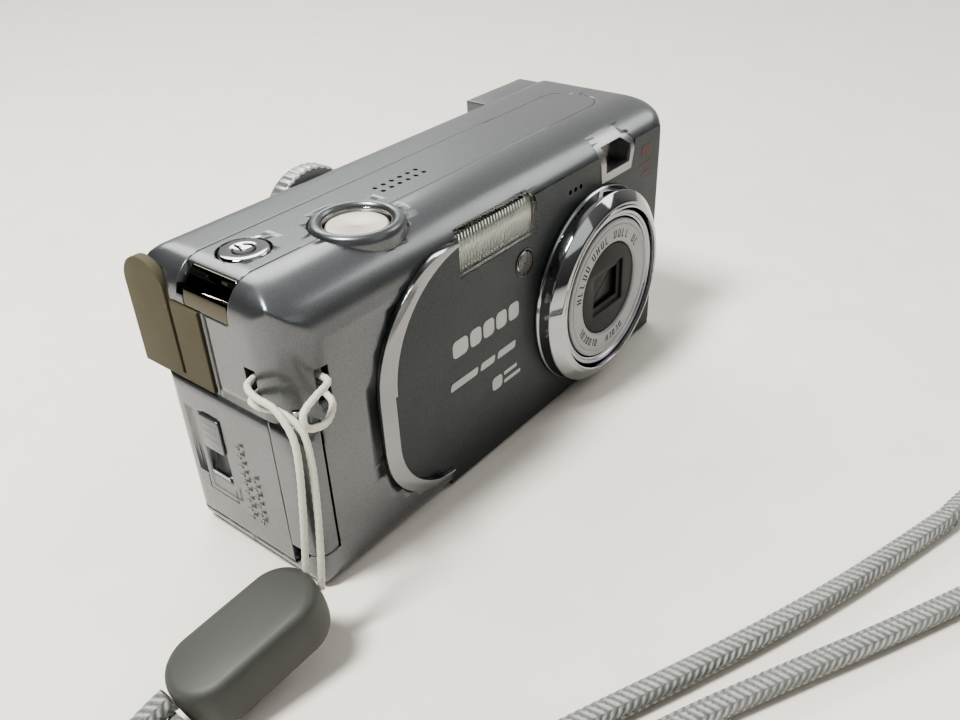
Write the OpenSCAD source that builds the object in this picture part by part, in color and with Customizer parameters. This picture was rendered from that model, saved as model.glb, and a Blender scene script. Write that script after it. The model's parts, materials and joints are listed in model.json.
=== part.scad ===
// Compact digital camera on two AA cells, with wrist strap.
// Millimetres, +Z up, lens faces -Y, grip end at -X.

/* [Body] */
// length over the two end faces
body_len = 103; // [100:0.5:106]
// height of the top plate above the table
body_h = 51.5; // [51:0.1:52.5]
// front face of the grip, measured from the middle plane
front_depth = 16; // [16:0.1:16.6]
// back face, measured from the middle plane
back_depth = 16; // [16:0.1:16.6]
// shell wall
wall = 1.5; // [1.4:0.05:1.6]

/* [Lens] */
// lens axis, from the middle of the body
lens_x = 25; // [24:0.25:26]
// lens axis above the table
lens_z = 21.2; // [20.8:0.1:21.6]
// outside radius of the chrome ring
ring_r = 19.8; // [19.4:0.1:20]
// front edge of the chrome ring
ring_front = 20.1; // [19.8:0.1:20.3]
// outside radius of the outer barrel
barrel_r = 15.7; // [15.5:0.1:15.7]

/* [Controls] */
// shutter release button radius
shutter_r = 5.1; // [4.6:0.1:5.1]
// power button radius
power_r = 3.8; // [3.4:0.1:3.8]
// mode dial radius
dial_r = 9; // [8.4:0.1:9]
// four-way pad radius
pad_r = 8.5; // [8:0.1:8.8]
// small back button radius
key_r = 2.6; // [2.2:0.1:2.7]

/* [Display] */
// width of the window over the screen
lcd_w = 41; // [39:0.5:42]
// height of the window over the screen
lcd_h = 32; // [30:0.5:33]

/* [Cells] */
// AA cell diameter
cell_d = 14.1; // [13.8:0.1:14.2]
// AA cell length
cell_len = 50.5; // [49.5:0.1:50.5]

/* [Strap] */
// thin cord diameter
cord_d = 1.1; // [0.9:0.1:1.2]
// braided strap diameter
braid_d = 3.6; // [3.2:0.1:3.7]

/* [Hidden] */
$fn = 64;

// body faces
left_x = -body_len / 2;
right_x = body_len / 2;
front_y = -front_depth;
back_y = back_depth;
end_wall = 3;
front_wall = 1.7;
shoulder_y = -5;
shoulder_z = body_h - 8;
shoulder_ry = front_depth - 5;
shoulder_rz = 8;
rear_top_r = 3.5;
edge_r = 2.5;
top_left_r = 6;
top_right_r = 3.3;
corner_low_r = 2.9;
corner_high_r = 8;
corner_rear_r = 3;
corner_right_r = 4;
corner_split_z = 31;
arc_steps = 10;
big = 140;

// seams, with a fine groove between the shells
groove = 0.12;
seam_y = 0.75;
tongue_front_y = -5;
tongue_rear_y = 6.4;
tongue_right_x = 43.8;
tongue_left_x = -48;
tongue_z = 45;
tongue_r = 5;

// dark front panel and chrome crescent
panel_y = -15.3;
panel_t = 0.6;
panel_top_z = 46.3;
panel_right_x = 48.7;
crescent_proud = 0.5;
crescent_back_y = -14.9;

// flash, lamp, microphone, viewfinder
flash_x0 = -14.6;
flash_x1 = 6.2;
flash_z0 = 39.3;
flash_z1 = 47.5;
flash_r = 3;
lamp_x = 2.6;
lamp_z = 35;
lamp_r = 2.3;
mic_x = 18.3;
mic_z = 43.1;
mic_pitch = 1.7;
mic_hole_r = 0.45;
finder_poly = [[26.2, 49.6], [27, 41.1], [37.6, 41], [38.9, 46.2], [35.2, 49.7]];
finder_open = [[28.2, 47.6], [28.6, 42.7], [36.8, 42.6], [37.4, 45.9], [35, 47.6]];

// lens stack along -Y
housing_r = 17.8;
housing_bore = 16.1;
housing_back_y = 2;
barrel_front_y = -19.4;
barrel_wall = 1.4;
inner_r = 14;
inner_bore = 12.2;
inner_front_y = -18.6;
mask_r = 9.2;
blade_y = -17.4;
blade_t = 0.5;
blade_r = 5.4;
blade_pivot_r = 10.2;
seam_angle = 35;

// shutter release and power button
shutter_x = -26.1;
shutter_y = -5.4;
shutter_ring_r = 7.5;
shutter_ring_z = 51.8;
shutter_top_z = 50.8;
shutter_gap = 0.3;
power_x = -42.1;
power_y = 1.2;
power_top_z = 51.3;
power_gap = 0.3;

// speaker holes
speaker_x0 = -15.2;
speaker_pitch = 1.95;
speaker_hole_r = 0.42;
speaker_x = -10.4;
speaker_y = 0.4;

// back controls
dial_x = -15.5;
dial_z = 42.5;
dial_y0 = 16.3;
dial_y1 = 20.1;
axle_r = 2;
rocker_x = -34.5;
rocker_z = 44;
pad_x = -27;
pad_z = 24;
set_r = 3.2;
switch_x = -34.5;
switch_z = 36;
menu_at = [-40.5, 9.5];
display_at = [-13.5, 9.5];
print_at = [-12.5, 30.5];
lcd_x = 22.5;
lcd_z = 24;
hump_x0 = 31;
hump_x1 = 49.5;
hump_z0 = 41.5;
hump_z1 = 50.2;
hump_y0 = 14.6;
hump_y1 = 20.1;
eye_x = 36;
eye_z = 45.8;

// end face: hinge strip, battery cover, latch
pin_x = -48.6;
pin_y = -13.1;
pin_r = 0.8;
pin_fit = 0.05;
strip_r = 2.9;
strip_gap = 0.25;
strip_z0 = 7;
strip_z1 = 30.8;
door_y0 = -9.2;
door_z0 = 3.2;
door_z1 = 30.8;
door_in_x = -50;
door_gap = 0.1;
arm_z = [18.5, 27.5];
arm_h = 2;
latch_y = 5.9;
latch_w = 5;
latch_z0 = 18.5;
latch_z1 = 25;
latch_slot_z0 = 13;

// cells and card
cell_r = cell_d / 2;
cell_y = 7.1;
cell_z = 10.2;
cell_x0 = -45.4;
cell_x1 = cell_x0 + cell_len;
card_z0 = 23;
card_t = 2.1;
card_y0 = -9.8;
card_y1 = 14.1;

// terminal cover
term_y0 = 1.8;
term_z0 = 31.2;
term_z_step = 45;
term_z_top = 50.2;
term_step_y = 8.6;
term_y1 = 18.9;
term_x1 = -45.5;
term_t = 1.5;

// case screws in the base
screws = [[-30, -6], [46, 4], [20, -9]];
screw_r = 1.6;

// strap lug
lug_z0 = 33.2;
lug_z1 = 39;
lug_y = -7.6;
lug_x = -45;
lug_gap = 2.2;

// tripod socket
socket_x = 10;
socket_y = 7;
socket_r = 2.55;
socket_out_r = 4.2;
socket_h = 7;

// route of the thin cord, joiner to lug and back
cord_route = [
    [-56.6, -22.4, 10.2], [-55.4, -21.9, 15], [-53.8, -20.9, 22], [-52.4, -19.6, 29],
    [-51.8, -17.9, 33.5], [-52.2, -14.5, 35.2], [-52.9, -11, 35], [-52.3, -8.4, 34.8],
    [-49.6, -7.6, 34.8], [-46.2, -7.4, 34.8], [-44.8, -8.8, 34.8], [-45, -12.5, 34.8],
    [-45, -15.6, 34.7], [-46, -18, 34.3], [-49.4, -20.2, 34.2], [-52.8, -20.6, 35.6],
    [-52.6, -20, 37.6], [-49.4, -19, 38.1], [-46, -17.6, 37.8], [-45, -15.6, 37.5],
    [-45, -12.5, 37.4], [-44.8, -8.8, 37.4], [-46.2, -7.4, 37.4], [-49.6, -7.6, 37.4],
    [-52.4, -8.4, 37.4], [-53.6, -11.4, 37.3], [-53.4, -15, 36.6], [-53.6, -18.1, 33.5],
    [-54.4, -19.4, 29], [-55.8, -20.2, 22], [-57.2, -20.7, 15], [-58, -20.9, 10.4]
];
// joiner, from the cord end to the braid end
joiner_a = [-57, -21.6, 10.1];
joiner_b = [-79, -18.4, 5.1];
joiner_w = 11;
joiner_t = 8.6;
// braided loop, both halves starting at the joiner
braid_z = 2;
braid_a_route = [
    [-79.6, -19.6, 3.6], [-85, -19.6, 2.2], [-91, -22, braid_z], [-95.5, -26.5, braid_z],
    [-96.5, -33, braid_z], [-92.5, -39.5, braid_z], [-84, -44.8, braid_z],
    [-72, -50.2, braid_z], [-60, -55.4, braid_z], [-46.7, -61.3, braid_z],
    [-33, -67.6, braid_z], [-20, -73.3, braid_z], [-7, -78.4, braid_z],
    [6, -82.9, braid_z], [19.5, -87.2, braid_z]
];
braid_b_route = [
    [-79.6, -17.2, 6.2], [-85, -16.6, 4.3], [-92, -17.8, 2.6], [-99, -22.5, braid_z],
    [-103, -30, braid_z], [-102, -39, braid_z], [-96, -46.5, braid_z],
    [-86, -51.8, braid_z], [-74, -56.6, braid_z], [-62, -61.4, braid_z],
    [-50, -66.6, braid_z], [-38.9, -71.7, braid_z], [-25, -79, braid_z],
    [-11, -86.6, braid_z], [2.8, -93.7, braid_z], [13, -98.6, braid_z],
    [23, -102.2, braid_z], [31, -101.8, braid_z], [35.6, -96.2, braid_z],
    [31.4, -90.2, braid_z], [19.5, -87.2, braid_z]
];
cord_sides = 8;
braid_sides = 10;

// colours
silver = "#b9bab8";
dark = "#4b4d4c";
chrome = "#d5d8da";
black = "#1b1b1c";
olive = "#6e6955";
clear = "#c9d4d8";
steel = "#a6a8aa";
copper = "#b8865a";
green = "#2f5d3a";

// ---------- shared shapes ----------

function arc(cx, cy, rx, ry, a0, a1) =
    [for (i = [0:arc_steps]) let (a = a0 + (a1 - a0) * i / arc_steps)
        [cx + rx * cos(a), cy + ry * sin(a)]];

// side outline (Y, Z), set in by d, with its own inset at the front
function side_outline(d, df) = concat(
    arc(front_y + edge_r, edge_r, edge_r - df, edge_r - d, 180, 270),
    arc(back_y - edge_r, edge_r, edge_r - d, edge_r - d, 270, 360),
    arc(back_y - rear_top_r, body_h - rear_top_r, rear_top_r - d, rear_top_r - d, 0, 90),
    arc(shoulder_y, shoulder_z, shoulder_ry - df, shoulder_rz - d, 90, 180));

// front outline (X, Z)
function face_outline(d, dl) = concat(
    arc(left_x + edge_r + dl, edge_r, edge_r - d, edge_r - d, 180, 270),
    arc(right_x - edge_r, edge_r, edge_r - d, edge_r - d, 270, 360),
    arc(right_x - top_right_r, body_h - top_right_r, top_right_r - d, top_right_r - d, 0, 90),
    arc(left_x + top_left_r + dl, body_h - top_left_r, top_left_r - d, top_left_r - d, 90, 180));

// plan outline (X, Y) with the front grip corner of radius r
function plan_outline(d, dl, df, r) = concat(
    arc(left_x + r + dl, front_y + r, r - d, r - df, 180, 270),
    arc(right_x - corner_right_r, front_y + corner_right_r, corner_right_r - d,
        corner_right_r - df, 270, 360),
    arc(right_x - corner_right_r, back_y - corner_right_r, corner_right_r - d,
        corner_right_r - d, 0, 90),
    arc(left_x + corner_rear_r + dl, back_y - corner_rear_r, corner_rear_r - d,
        corner_rear_r - d, 90, 180));

module along_x(len) rotate([90, 0, 90]) linear_extrude(len, center = true) children();
module along_y(y0, y1) translate([0, y1, 0]) rotate([90, 0, 0]) linear_extrude(y1 - y0) children();
module box(a, b) translate(a) cube(b - a);
module rod_y(x, z, r, y0, y1) translate([x, y0, z]) rotate([-90, 0, 0]) cylinder(y1 - y0, r, r);
module rod_z(x, y, r, z0, z1) translate([x, y, z0]) cylinder(z1 - z0, r, r);
module rod_x(y, z, r, x0, x1) translate([x0, y, z]) rotate([0, 90, 0]) cylinder(x1 - x0, r, r);
module ring_y(x, z, r0, r1, y0, y1) difference() {
    rod_y(x, z, r1, y0, y1);
    rod_y(x, z, r0, y0 - 1, y1 + 1);
}
module ring_z(x, y, r0, r1, z0, z1) difference() {
    rod_z(x, y, r1, z0, z1);
    rod_z(x, y, r0, z0 - 1, z1 + 1);
}

// body block set in by d; dl and df are the extra insets at the grip end and the front
module block(d, dl, df) intersection() {
    along_x(big) polygon(side_outline(d, df));
    along_y(-big / 2, big / 2) polygon(face_outline(d, dl));
    union() {
        linear_extrude(corner_split_z)
            polygon(plan_outline(d, dl, df, corner_low_r));
        translate([0, 0, corner_split_z]) linear_extrude(big)
            polygon(plan_outline(d, dl, df, corner_high_r));
    }
}
module hollow() difference() {
    block(0, 0, 0);
    block(wall, end_wall - wall, front_wall);
    rod_z(socket_x, socket_y, socket_out_r, -1, wall + 1);
    for (p = screws) rod_z(p[0], p[1], screw_r, -1, wall + 1);
    lug_tunnel();
}

// outlines on the front face (X, Z)
module crescent_outer() {
    translate([-16.6, 27.5]) circle(19.2);
    translate([-22.5, 17.3]) circle(13.2);
    translate([-35.8, 17.3]) square([20, 10.2]);
}
module crescent_inner() {
    translate([-13, 27]) circle(19);
    translate([-19.5, 17.5]) circle(13);
    translate([-32.5, 17.5]) square([14, 9.5]);
}
module panel_face() {
    intersection() {
        crescent_inner();
        translate([-40, 3.8]) square([30, panel_top_z - 3.8]);
    }
    translate([-15.6, 0]) square([panel_right_x + 15.6, panel_top_z]);
    translate([-20, 0]) square([10, 20]);
}
module crescent_face() difference() {
    intersection() {
        crescent_outer();
        translate([-40, 3.8]) square([24.4, panel_top_z - 3.8]);
    }
    panel_face();
}
module flash_face() {
    translate([flash_x0, flash_z0]) square([flash_x1 - flash_x0 - flash_r, flash_z1 - flash_z0]);
    translate([flash_x0, flash_z0]) square([flash_x1 - flash_x0, flash_z1 - flash_z0 - flash_r]);
    translate([flash_x1 - flash_r, flash_z1 - flash_r]) circle(flash_r);
}
module tongue_face(g) {
    translate([tongue_left_x, tongue_front_y - g])
        square([tongue_right_x - tongue_left_x - tongue_r, tongue_rear_y - tongue_front_y + 2 * g]);
    translate([tongue_right_x - tongue_r, tongue_front_y + tongue_r])
        square([tongue_r + g, tongue_rear_y - tongue_front_y - 2 * tongue_r]);
    for (y = [tongue_front_y + tongue_r, tongue_rear_y - tongue_r])
        translate([tongue_right_x - tongue_r, y]) circle(tongue_r + g);
}
module term_face(g) {
    r = (term_y1 - term_step_y - 0.1) / 2;
    translate([term_y0 - g, term_z0 - g])
        square([term_y1 - term_y0 + 2 * g, term_z_step - 0.1 - term_z0 + 2 * g]);
    translate([term_y1 - 2 * r - g, term_z0]) square([2 * (r + g), term_z_top - r - term_z0]);
    translate([term_y1 - r, term_z_top - r]) circle(r + g);
}

// ---------- cuts shared by the shells ----------

module tongue_cut(g) translate([0, 0, tongue_z]) linear_extrude(big) tongue_face(g);
module slab_x(x0, x1) translate([(x0 + x1) / 2, 0, 0]) along_x(x1 - x0) children();
module lug_tunnel() {
    box([left_x - 1, lug_y - lug_gap / 2, lug_z0], [lug_x + lug_gap / 2, lug_y + lug_gap / 2, lug_z1]);
    box([lug_x - lug_gap / 2, front_y - 1, lug_z0], [lug_x + lug_gap / 2, lug_y + lug_gap / 2, lug_z1]);
}
module end_cuts() {
    // recess for the cover, hinge strip and arms, and the mouths for cells and card
    box([left_x - 1, pin_y, strip_z0 - 0.2], [door_in_x + door_gap, 17, strip_z1 + 0.15]);
    box([left_x - 1, door_y0 - 0.7, door_z0 - 0.15], [door_in_x + door_gap, 17, strip_z1 + 0.15]);
    rod_z(pin_x, pin_y, strip_r + strip_gap, strip_z0 - 0.2, strip_z1 + 0.15);
    rod_z(pin_x, pin_y, pin_r, strip_z0 - 3, strip_z1 + 2.5);
    for (z = arm_z) box([door_in_x - 1, pin_y, z - 0.2], [-49, 1, z + arm_h + 0.2]);
    for (s = [-1, 1]) rod_x(s * cell_y, cell_z, cell_r + 0.15, left_x - 1, cell_x0);
    box([left_x - 1, card_y0 - 0.2, card_z0 - 0.3], [-47, card_y1 + 0.2, card_z0 + card_t + 0.3]);
}
module term_cuts() {
    slab_x(left_x - 1, left_x + term_t + 0.1) term_face(0.12);
    box([left_x - 1, 4.5, 33], [-47, 13.5, 45]);
}
module notch_cut() box([left_x - 1, -5, tongue_z], [tongue_left_x, 5, big / 2]);
module shutter_cut() {
    rod_z(shutter_x, shutter_y, shutter_ring_r, 46, big / 2);
}

// ---------- shells ----------

module front_shell() color(silver) difference() {
    union() {
        difference() {
            hollow();
            box([-big, seam_y - groove / 2, -1], [big, big, big]);
        }
        for (z = [[strip_z0 - 2.8, strip_z0 - 0.2], [strip_z1 + 0.15, strip_z1 + 2.3]])
            rod_z(pin_x, pin_y, 2.2, z[0], z[1]);
    }
    tongue_cut(groove);
    box([tongue_left_x - 3, tongue_front_y, tongue_z], [tongue_left_x + 1, 2, big]);
    along_y(-20, panel_y + panel_t) panel_face();
    box([panel_right_x - 0.1, -20, -1], [60, panel_y, panel_top_z]);
    along_y(-20, crescent_back_y) crescent_face();
    along_y(-20, -12) flash_face();
    rod_y(lens_x, lens_z, housing_r, -20, 0);
    rod_y(lamp_x, lamp_z, lamp_r, -20, 0);
    along_y(-20, -6) polygon(finder_poly);
    for (i = [-1:1]) rod_y(mic_x + i * mic_pitch, mic_z, mic_hole_r, -20, -13);
    end_cuts();
    term_cuts();
    notch_cut();
    shutter_cut();
}

module rear_shell() color(silver) difference() {
    hollow();
    box([-big, -big, -1], [big, seam_y + groove / 2, big]);
    tongue_cut(groove);
    box([tongue_left_x - 3, -1, tongue_z], [tongue_left_x + 1, tongue_rear_y, big]);
    end_cuts();
    term_cuts();
    notch_cut();
    box([hump_x0, 12, hump_z0], [hump_x1, 21, hump_z1]);
    rod_y(dial_x, dial_z, axle_r + 0.3, 10, 20);
    box([rocker_x - 3, 12, rocker_z - 2.2], [rocker_x + 3, 20, rocker_z + 2.2]);
    rod_y(pad_x, pad_z, 4.8, 12, 20);
    for (p = [menu_at, display_at, print_at]) rod_y(p[0], p[1], key_r + 0.25, 12, 20);
    box([switch_x - 2.2, 12, switch_z - 1.2], [switch_x + 5.4, 20, switch_z + 1.2]);
    box([lcd_x - lcd_w / 2, 12, lcd_z - lcd_h / 2], [lcd_x + lcd_w / 2, 20, lcd_z + lcd_h / 2]);
}

module top_cover() color(silver) difference() {
    intersection() {
        hollow();
        tongue_cut(0);
    }
    notch_cut();
    term_cuts();
    shutter_cut();
    rod_z(power_x, power_y, power_r + power_gap, 40, 60);
    for (i = [0:5], y = [-0.55, 1.35])
        rod_z(speaker_x0 + i * speaker_pitch, y, speaker_hole_r, 48, 60);
}

module front_panel() color(dark) difference() {
    along_y(panel_y, panel_y + panel_t) panel_face();
    along_y(-20, -12) flash_face();
    rod_y(lens_x, lens_z, housing_r, -20, 0);
    rod_y(lamp_x, lamp_z, lamp_r, -20, 0);
    along_y(-20, -6) polygon(finder_poly);
    for (i = [-1:1]) rod_y(mic_x + i * mic_pitch, mic_z, mic_hole_r, -20, -13);
    box([-big, -big, -1], [big, 0, edge_r / 4]);
}

module crescent_trim() color(chrome) along_y(front_y - crescent_proud, crescent_back_y)
    crescent_face();

module corner_trim() color(chrome) difference() {
    intersection() {
        block(0.2, 0, 0);
        box([left_x, -4.9, tongue_z + 0.05], [tongue_left_x, 4.9, body_h]);
    }
    translate([left_x - 1.8, 0, body_h + 0.6]) rotate([90, 0, 0]) cylinder(20, 5, 5, center = true);
}

// ---------- lens ----------

module revolve_y() translate([lens_x, 0, lens_z]) rotate([90, 0, 0]) rotate_extrude() children();

module lens_ring() color(chrome) revolve_y() polygon([
    [housing_bore, -panel_y], [ring_r, -panel_y], [ring_r - 0.2, ring_front - 2.1],
    [ring_r - 0.6, ring_front - 1.7], [ring_r - 2.6, ring_front - 0.3],
    [ring_r - 3.4, ring_front], [housing_bore, ring_front]]);

module lens_housing() color(black) {
    ring_y(lens_x, lens_z, housing_bore, housing_r, panel_y, 0);
    difference() {
        rod_y(lens_x, lens_z, housing_r, 0, housing_back_y);
        box([lens_x - 4, -1, lens_z - 3], [lens_x + 4, 3, lens_z + 3]);
    }
}

module lens_barrel_outer() color(steel) ring_y(lens_x, lens_z, barrel_r - barrel_wall, barrel_r,
    barrel_front_y, -3);

module lens_barrel_inner() color(steel) {
    ring_y(lens_x, lens_z, inner_bore, inner_r, inner_front_y, -4);
    ring_y(lens_x, lens_z, mask_r, inner_r, inner_front_y, -17.7);
    ring_y(lens_x, lens_z, 7.5, inner_r, -16.5, -14);
    for (s = [-1, 1])
        rod_y(lens_x + s * blade_pivot_r * cos(seam_angle),
            lens_z + s * blade_pivot_r * sin(seam_angle), 0.6, -17.8, -16.4);
}

module name_ring() color(steel) ring_y(lens_x, lens_z, mask_r + 0.1, inner_r, -19.3, inner_front_y);

module barrier_mask() color(black) difference() {
    rod_y(lens_x, lens_z, mask_r, -18.9, -17.7);
    box([lens_x - 4.1, -20, lens_z - 3.2], [lens_x + 4.1, -17, lens_z + 3.2]);
    box([lens_x - 5.2, -20, lens_z - 4.4], [lens_x + 5.2, -18.3, lens_z + 4.4]);
}

module front_lens() color(clear) intersection() {
    rod_y(lens_x, lens_z, 7.45, -16.5, -13.5);
    translate([lens_x, 5.5, lens_z]) sphere(22);
}

module blade() color(black) translate([lens_x, blade_y + blade_t, lens_z])
    rotate([0, -seam_angle, 0]) rotate([90, 0, 0]) linear_extrude(blade_t) difference() {
        union() {
            intersection() {
                circle(blade_r);
                translate([-blade_r, 0.03]) square([2 * blade_r, blade_r]);
            }
            translate([0, 0.03]) square([blade_pivot_r, 1.3]);
            translate([blade_pivot_r, 0]) circle(1.3);
        }
        translate([blade_pivot_r, 0]) circle(0.65);
    }
module barrier_blade_a() blade();
module barrier_blade_b() translate([lens_x, 0, lens_z]) rotate([0, 180, 0])
    translate([-lens_x, 0, -lens_z]) blade();

module image_sensor() color(green) {
    box([lens_x - 8, housing_back_y, lens_z - 7], [lens_x + 8, 3.2, lens_z + 7]);
    color(black) box([lens_x - 3.6, 1, lens_z - 2.7], [lens_x + 3.6, 2, lens_z + 2.7]);
}
module lens_motor() color(steel) {
    rod_y(44.5, 36, 3.5, -12, 0);
    rod_y(44.5, 36, 0.8, 0, 2);
}

// ---------- front details ----------

module flash_window() color(clear) intersection() {
    block(0, 0, 0);
    along_y(panel_y, -13.6) flash_face();
}
module flash_reflector() color(chrome) {
    difference() {
        box([flash_x0 + 1, -13.5, flash_z0 + 0.5], [flash_x1 - 1, -8, 46.6]);
        box([flash_x0 + 1.6, -14, flash_z0 + 1.2], [flash_x1 - 1.6, -8.8, 45.9]);
    }
    rod_x(-10.4, 42.8, 1, flash_x0 + 1.3, flash_x1 - 1.3);
}
module flash_capacitor() color(black) rod_x(-6, 34, 5.5, -40, -12);
module af_lamp_lens() color(clear) rod_y(lamp_x, lamp_z, lamp_r, panel_y - 0.2, -13.6);
module viewfinder_bezel() color(chrome) difference() {
    intersection() {
        block(0, 0, 0);
        along_y(panel_y - 0.1, -10) polygon(finder_poly);
    }
    along_y(-20, -5) polygon(finder_open);
}
module viewfinder_tube() color(black) difference() {
    box([28, -9.5, 41.5], [41, hump_y0 - 0.2, 48.3]);
    box([28.8, -10, 42.3], [40.2, 20, 47.5]);
}
module eyepiece_housing() color(dark) difference() {
    box([hump_x0, hump_y0, hump_z0], [hump_x1, hump_y1, hump_z1]);
    box([eye_x - 4.5, 10, eye_z - 3.5], [eye_x + 4.5, 30, eye_z + 3.5]);
}
module eyepiece_lens() color(clear) box([eye_x - 4.5, 17, eye_z - 3.5], [eye_x + 4.5, 19, eye_z + 3.5]);

// ---------- inside and back ----------

module lcd_window() color(clear)
    box([lcd_x - lcd_w / 2, 15, lcd_z - lcd_h / 2], [lcd_x + lcd_w / 2, 16.1, lcd_z + lcd_h / 2]);
module lcd_panel() color(black)
    box([lcd_x - lcd_w / 2 + 5, 11.5, lcd_z - lcd_h / 2 + 0.6],
        [lcd_x + lcd_w / 2 - 1, 14.4, lcd_z + lcd_h / 2 - 0.6]);
module main_board() color(green) difference() {
    union() {
        box([7, 9, 4], [48, 10, 41]);
        box([-46, 9, 28], [26, 10, 44.5]);
    }
    rod_y(dial_x, dial_z, axle_r + 0.5, 8, 11);
    rod_z(socket_x, socket_y, socket_out_r, -1, 9);
}
module battery_holder() color(black) difference() {
    box([cell_x0, -14.2, wall + 0.1], [cell_x1 + 1.4, 14.2, 18.6]);
    for (s = [-1, 1]) rod_x(s * cell_y, cell_z, cell_r + 0.15, cell_x0 - 1, cell_x1 + 0.4);
    rod_z(socket_x, socket_y, socket_out_r, -1, 9);
}
module batteries() color(copper) for (s = [-1, 1]) {
    rod_x(s * cell_y, cell_z, cell_r, cell_x0 + 1, cell_x1);
    rod_x(s * cell_y, cell_z, 2.7, cell_x0, cell_x0 + 1);
}
module battery_contacts() color(steel) for (s = [-1, 1])
    box([cell_x1, s * cell_y - 4, cell_z - 4], [cell_x1 + 0.4, s * cell_y + 4, cell_z + 4]);
module card_slot() color(steel) difference() {
    box([-45.2, card_y0 - 1, card_z0 - 1.2], [-16, card_y1 + 0.3, card_z0 + card_t + 1.2]);
    box([-50, card_y0 - 0.1, card_z0 - 0.1], [-16.8, card_y1 + 0.1, card_z0 + card_t + 0.1]);
}
module memory_card() color(black) box([-48.7, card_y0, card_z0], [-17, card_y1, card_z0 + card_t]);
module tripod_socket() color(steel) difference() {
    rod_z(socket_x, socket_y, socket_out_r, 0, socket_h);
    rod_z(socket_x, socket_y, socket_r, -1, socket_h - 1);
}
module strap_lug() color(silver) difference() {
    intersection() {
        block(wall, end_wall - wall, front_wall);
        box([left_x, front_y, lug_z0 - 1.2], [-42.6, -4.8, lug_z1 + 1.2]);
    }
    lug_tunnel();
    rod_z(pin_x, pin_y, 2.3, 20, strip_z1 + 2.6);
}
module speaker() color(black) {
    rod_z(speaker_x, speaker_y, 6, 46.5, 49.8);
}
module jacks() color(black) for (j = [[-47, 8.9, 36.5, 4.2, 4.5], [-47, 9.2, 42.3, 2.6, 4]])
    difference() {
        box([j[0], j[1] - j[3], j[2] - 2.6], [-39, 8.95, j[2] + 2.6]);
        box([j[0] - 1, j[1] - j[3] + 0.7, j[2] - 1.9], [-41, 8.25, j[2] + 1.9]);
    }
module case_screws() color(steel) for (p = screws)
    difference() {
        rod_z(p[0], p[1], screw_r, 0.3, wall);
        box([p[0] - 1.2, p[1] - 0.2, -1], [p[0] + 1.2, p[1] + 0.2, 0.7]);
        box([p[0] - 0.2, p[1] - 1.2, -1], [p[0] + 0.2, p[1] + 1.2, 0.7]);
    }

// ---------- top controls ----------

module shutter_ring() color(silver) difference() {
    rod_z(shutter_x, shutter_y, shutter_ring_r, 46, shutter_ring_z);
    rod_z(shutter_x, shutter_y, shutter_r + shutter_gap, 47.2, 60);
    rod_z(shutter_x, shutter_y, 2.1, 40, 60);
}
module shutter_button() color(silver) {
    rod_z(shutter_x, shutter_y, shutter_r, 49, shutter_top_z);
    rod_z(shutter_x, shutter_y, 1.8, 45.4, 49);
}
module shutter_spring() color(steel) ring_z(shutter_x, shutter_y, 2.6, 3.2, 47.2, 49);
module power_button() color(chrome) {
    rod_z(power_x, power_y, power_r, 49.2, power_top_z);
    rod_z(power_x, power_y, 1.6, 47.6, 49.2);
}

// ---------- back controls ----------

module mode_dial() color(dark) {
    difference() {
        rod_y(dial_x, dial_z, dial_r, dial_y0, dial_y1);
        for (a = [0:15:345])
            translate([dial_x + (dial_r + 0.5) * cos(a), 0, dial_z + (dial_r + 0.5) * sin(a)])
                rod_y(0, 0, 0.9, dial_y0 - 1, dial_y1 + 1);
    }
    rod_y(dial_x, dial_z, axle_r, 12, dial_y0);
}
module zoom_rocker() color(silver) {
    box([rocker_x - 7.5, 16.8, rocker_z - 3], [rocker_x + 7.5, 18.2, rocker_z + 3]);
    box([rocker_x - 1.6, 14, rocker_z - 1.6], [rocker_x + 1.6, 16.8, rocker_z + 1.6]);
}
module pad_gimbal() color(black) ring_y(pad_x, pad_z, set_r + 0.6, 4.5, 14.6, 15.8);
module control_pad() color(silver) ring_y(pad_x, pad_z, set_r + 0.5, pad_r, 16.6, 17.8);
module set_button() color(silver) rod_y(pad_x, pad_z, set_r, 14.9, 17.6);
module key(p) color(silver) rod_y(p[0], p[1], key_r, 14.8, 16.8);
module back_buttons_menu() key(menu_at);
module back_buttons_display() key(display_at);
module back_buttons_print() key(print_at);
module mode_switch() color(black) box([switch_x - 1.8, 13.5, switch_z - 0.9],
    [switch_x + 1.8, 17.2, switch_z + 0.9]);

// ---------- covers on the grip end ----------

module terminal_cover() color(olive) difference() {
    union() {
        slab_x(left_x, left_x + term_t) term_face(0);
        box([left_x, back_y + 0.1, term_z0], [term_x1, term_y1, term_z_step - 0.1]);
    }
    box([left_x - 1, term_step_y - 0.4, term_z0 + 1], [left_x + 0.4, term_step_y + 0.4, 60]);
}
module hinge_strip() color(silver) difference() {
    union() {
        rod_z(pin_x, pin_y, strip_r, strip_z0, strip_z1);
        box([left_x, pin_y, strip_z0], [door_in_x - 0.1, door_y0 - 0.2, strip_z1]);
        for (z = arm_z) box([-49.8, -12, z], [-49.2, 0, z + arm_h]);
    }
    rod_z(pin_x, pin_y, pin_r + pin_fit, -1, 60);
}
module hinge_pin() color(steel) rod_z(pin_x, pin_y, pin_r, strip_z0 - 2.6, strip_z1 + 2.2);
module battery_cover() color(silver) difference() {
    intersection() {
        block(0, 0, 0);
        box([left_x - 1, door_y0, door_z0], [door_in_x, 17, door_z1]);
    }
    box([left_x - 1, latch_y - latch_w / 2 - 0.2, latch_slot_z0],
        [left_x + 0.8, latch_y + latch_w / 2 + 0.2, latch_z1 + 0.2]);
    translate([left_x - 3.4, 11, 12]) cylinder(13, 4, 4);
}
module cover_latch() color(silver) {
    box([left_x, latch_y - latch_w / 2, latch_z0], [left_x + 0.7, latch_y + latch_w / 2, latch_z1]);
}

// ---------- strap ----------

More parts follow.
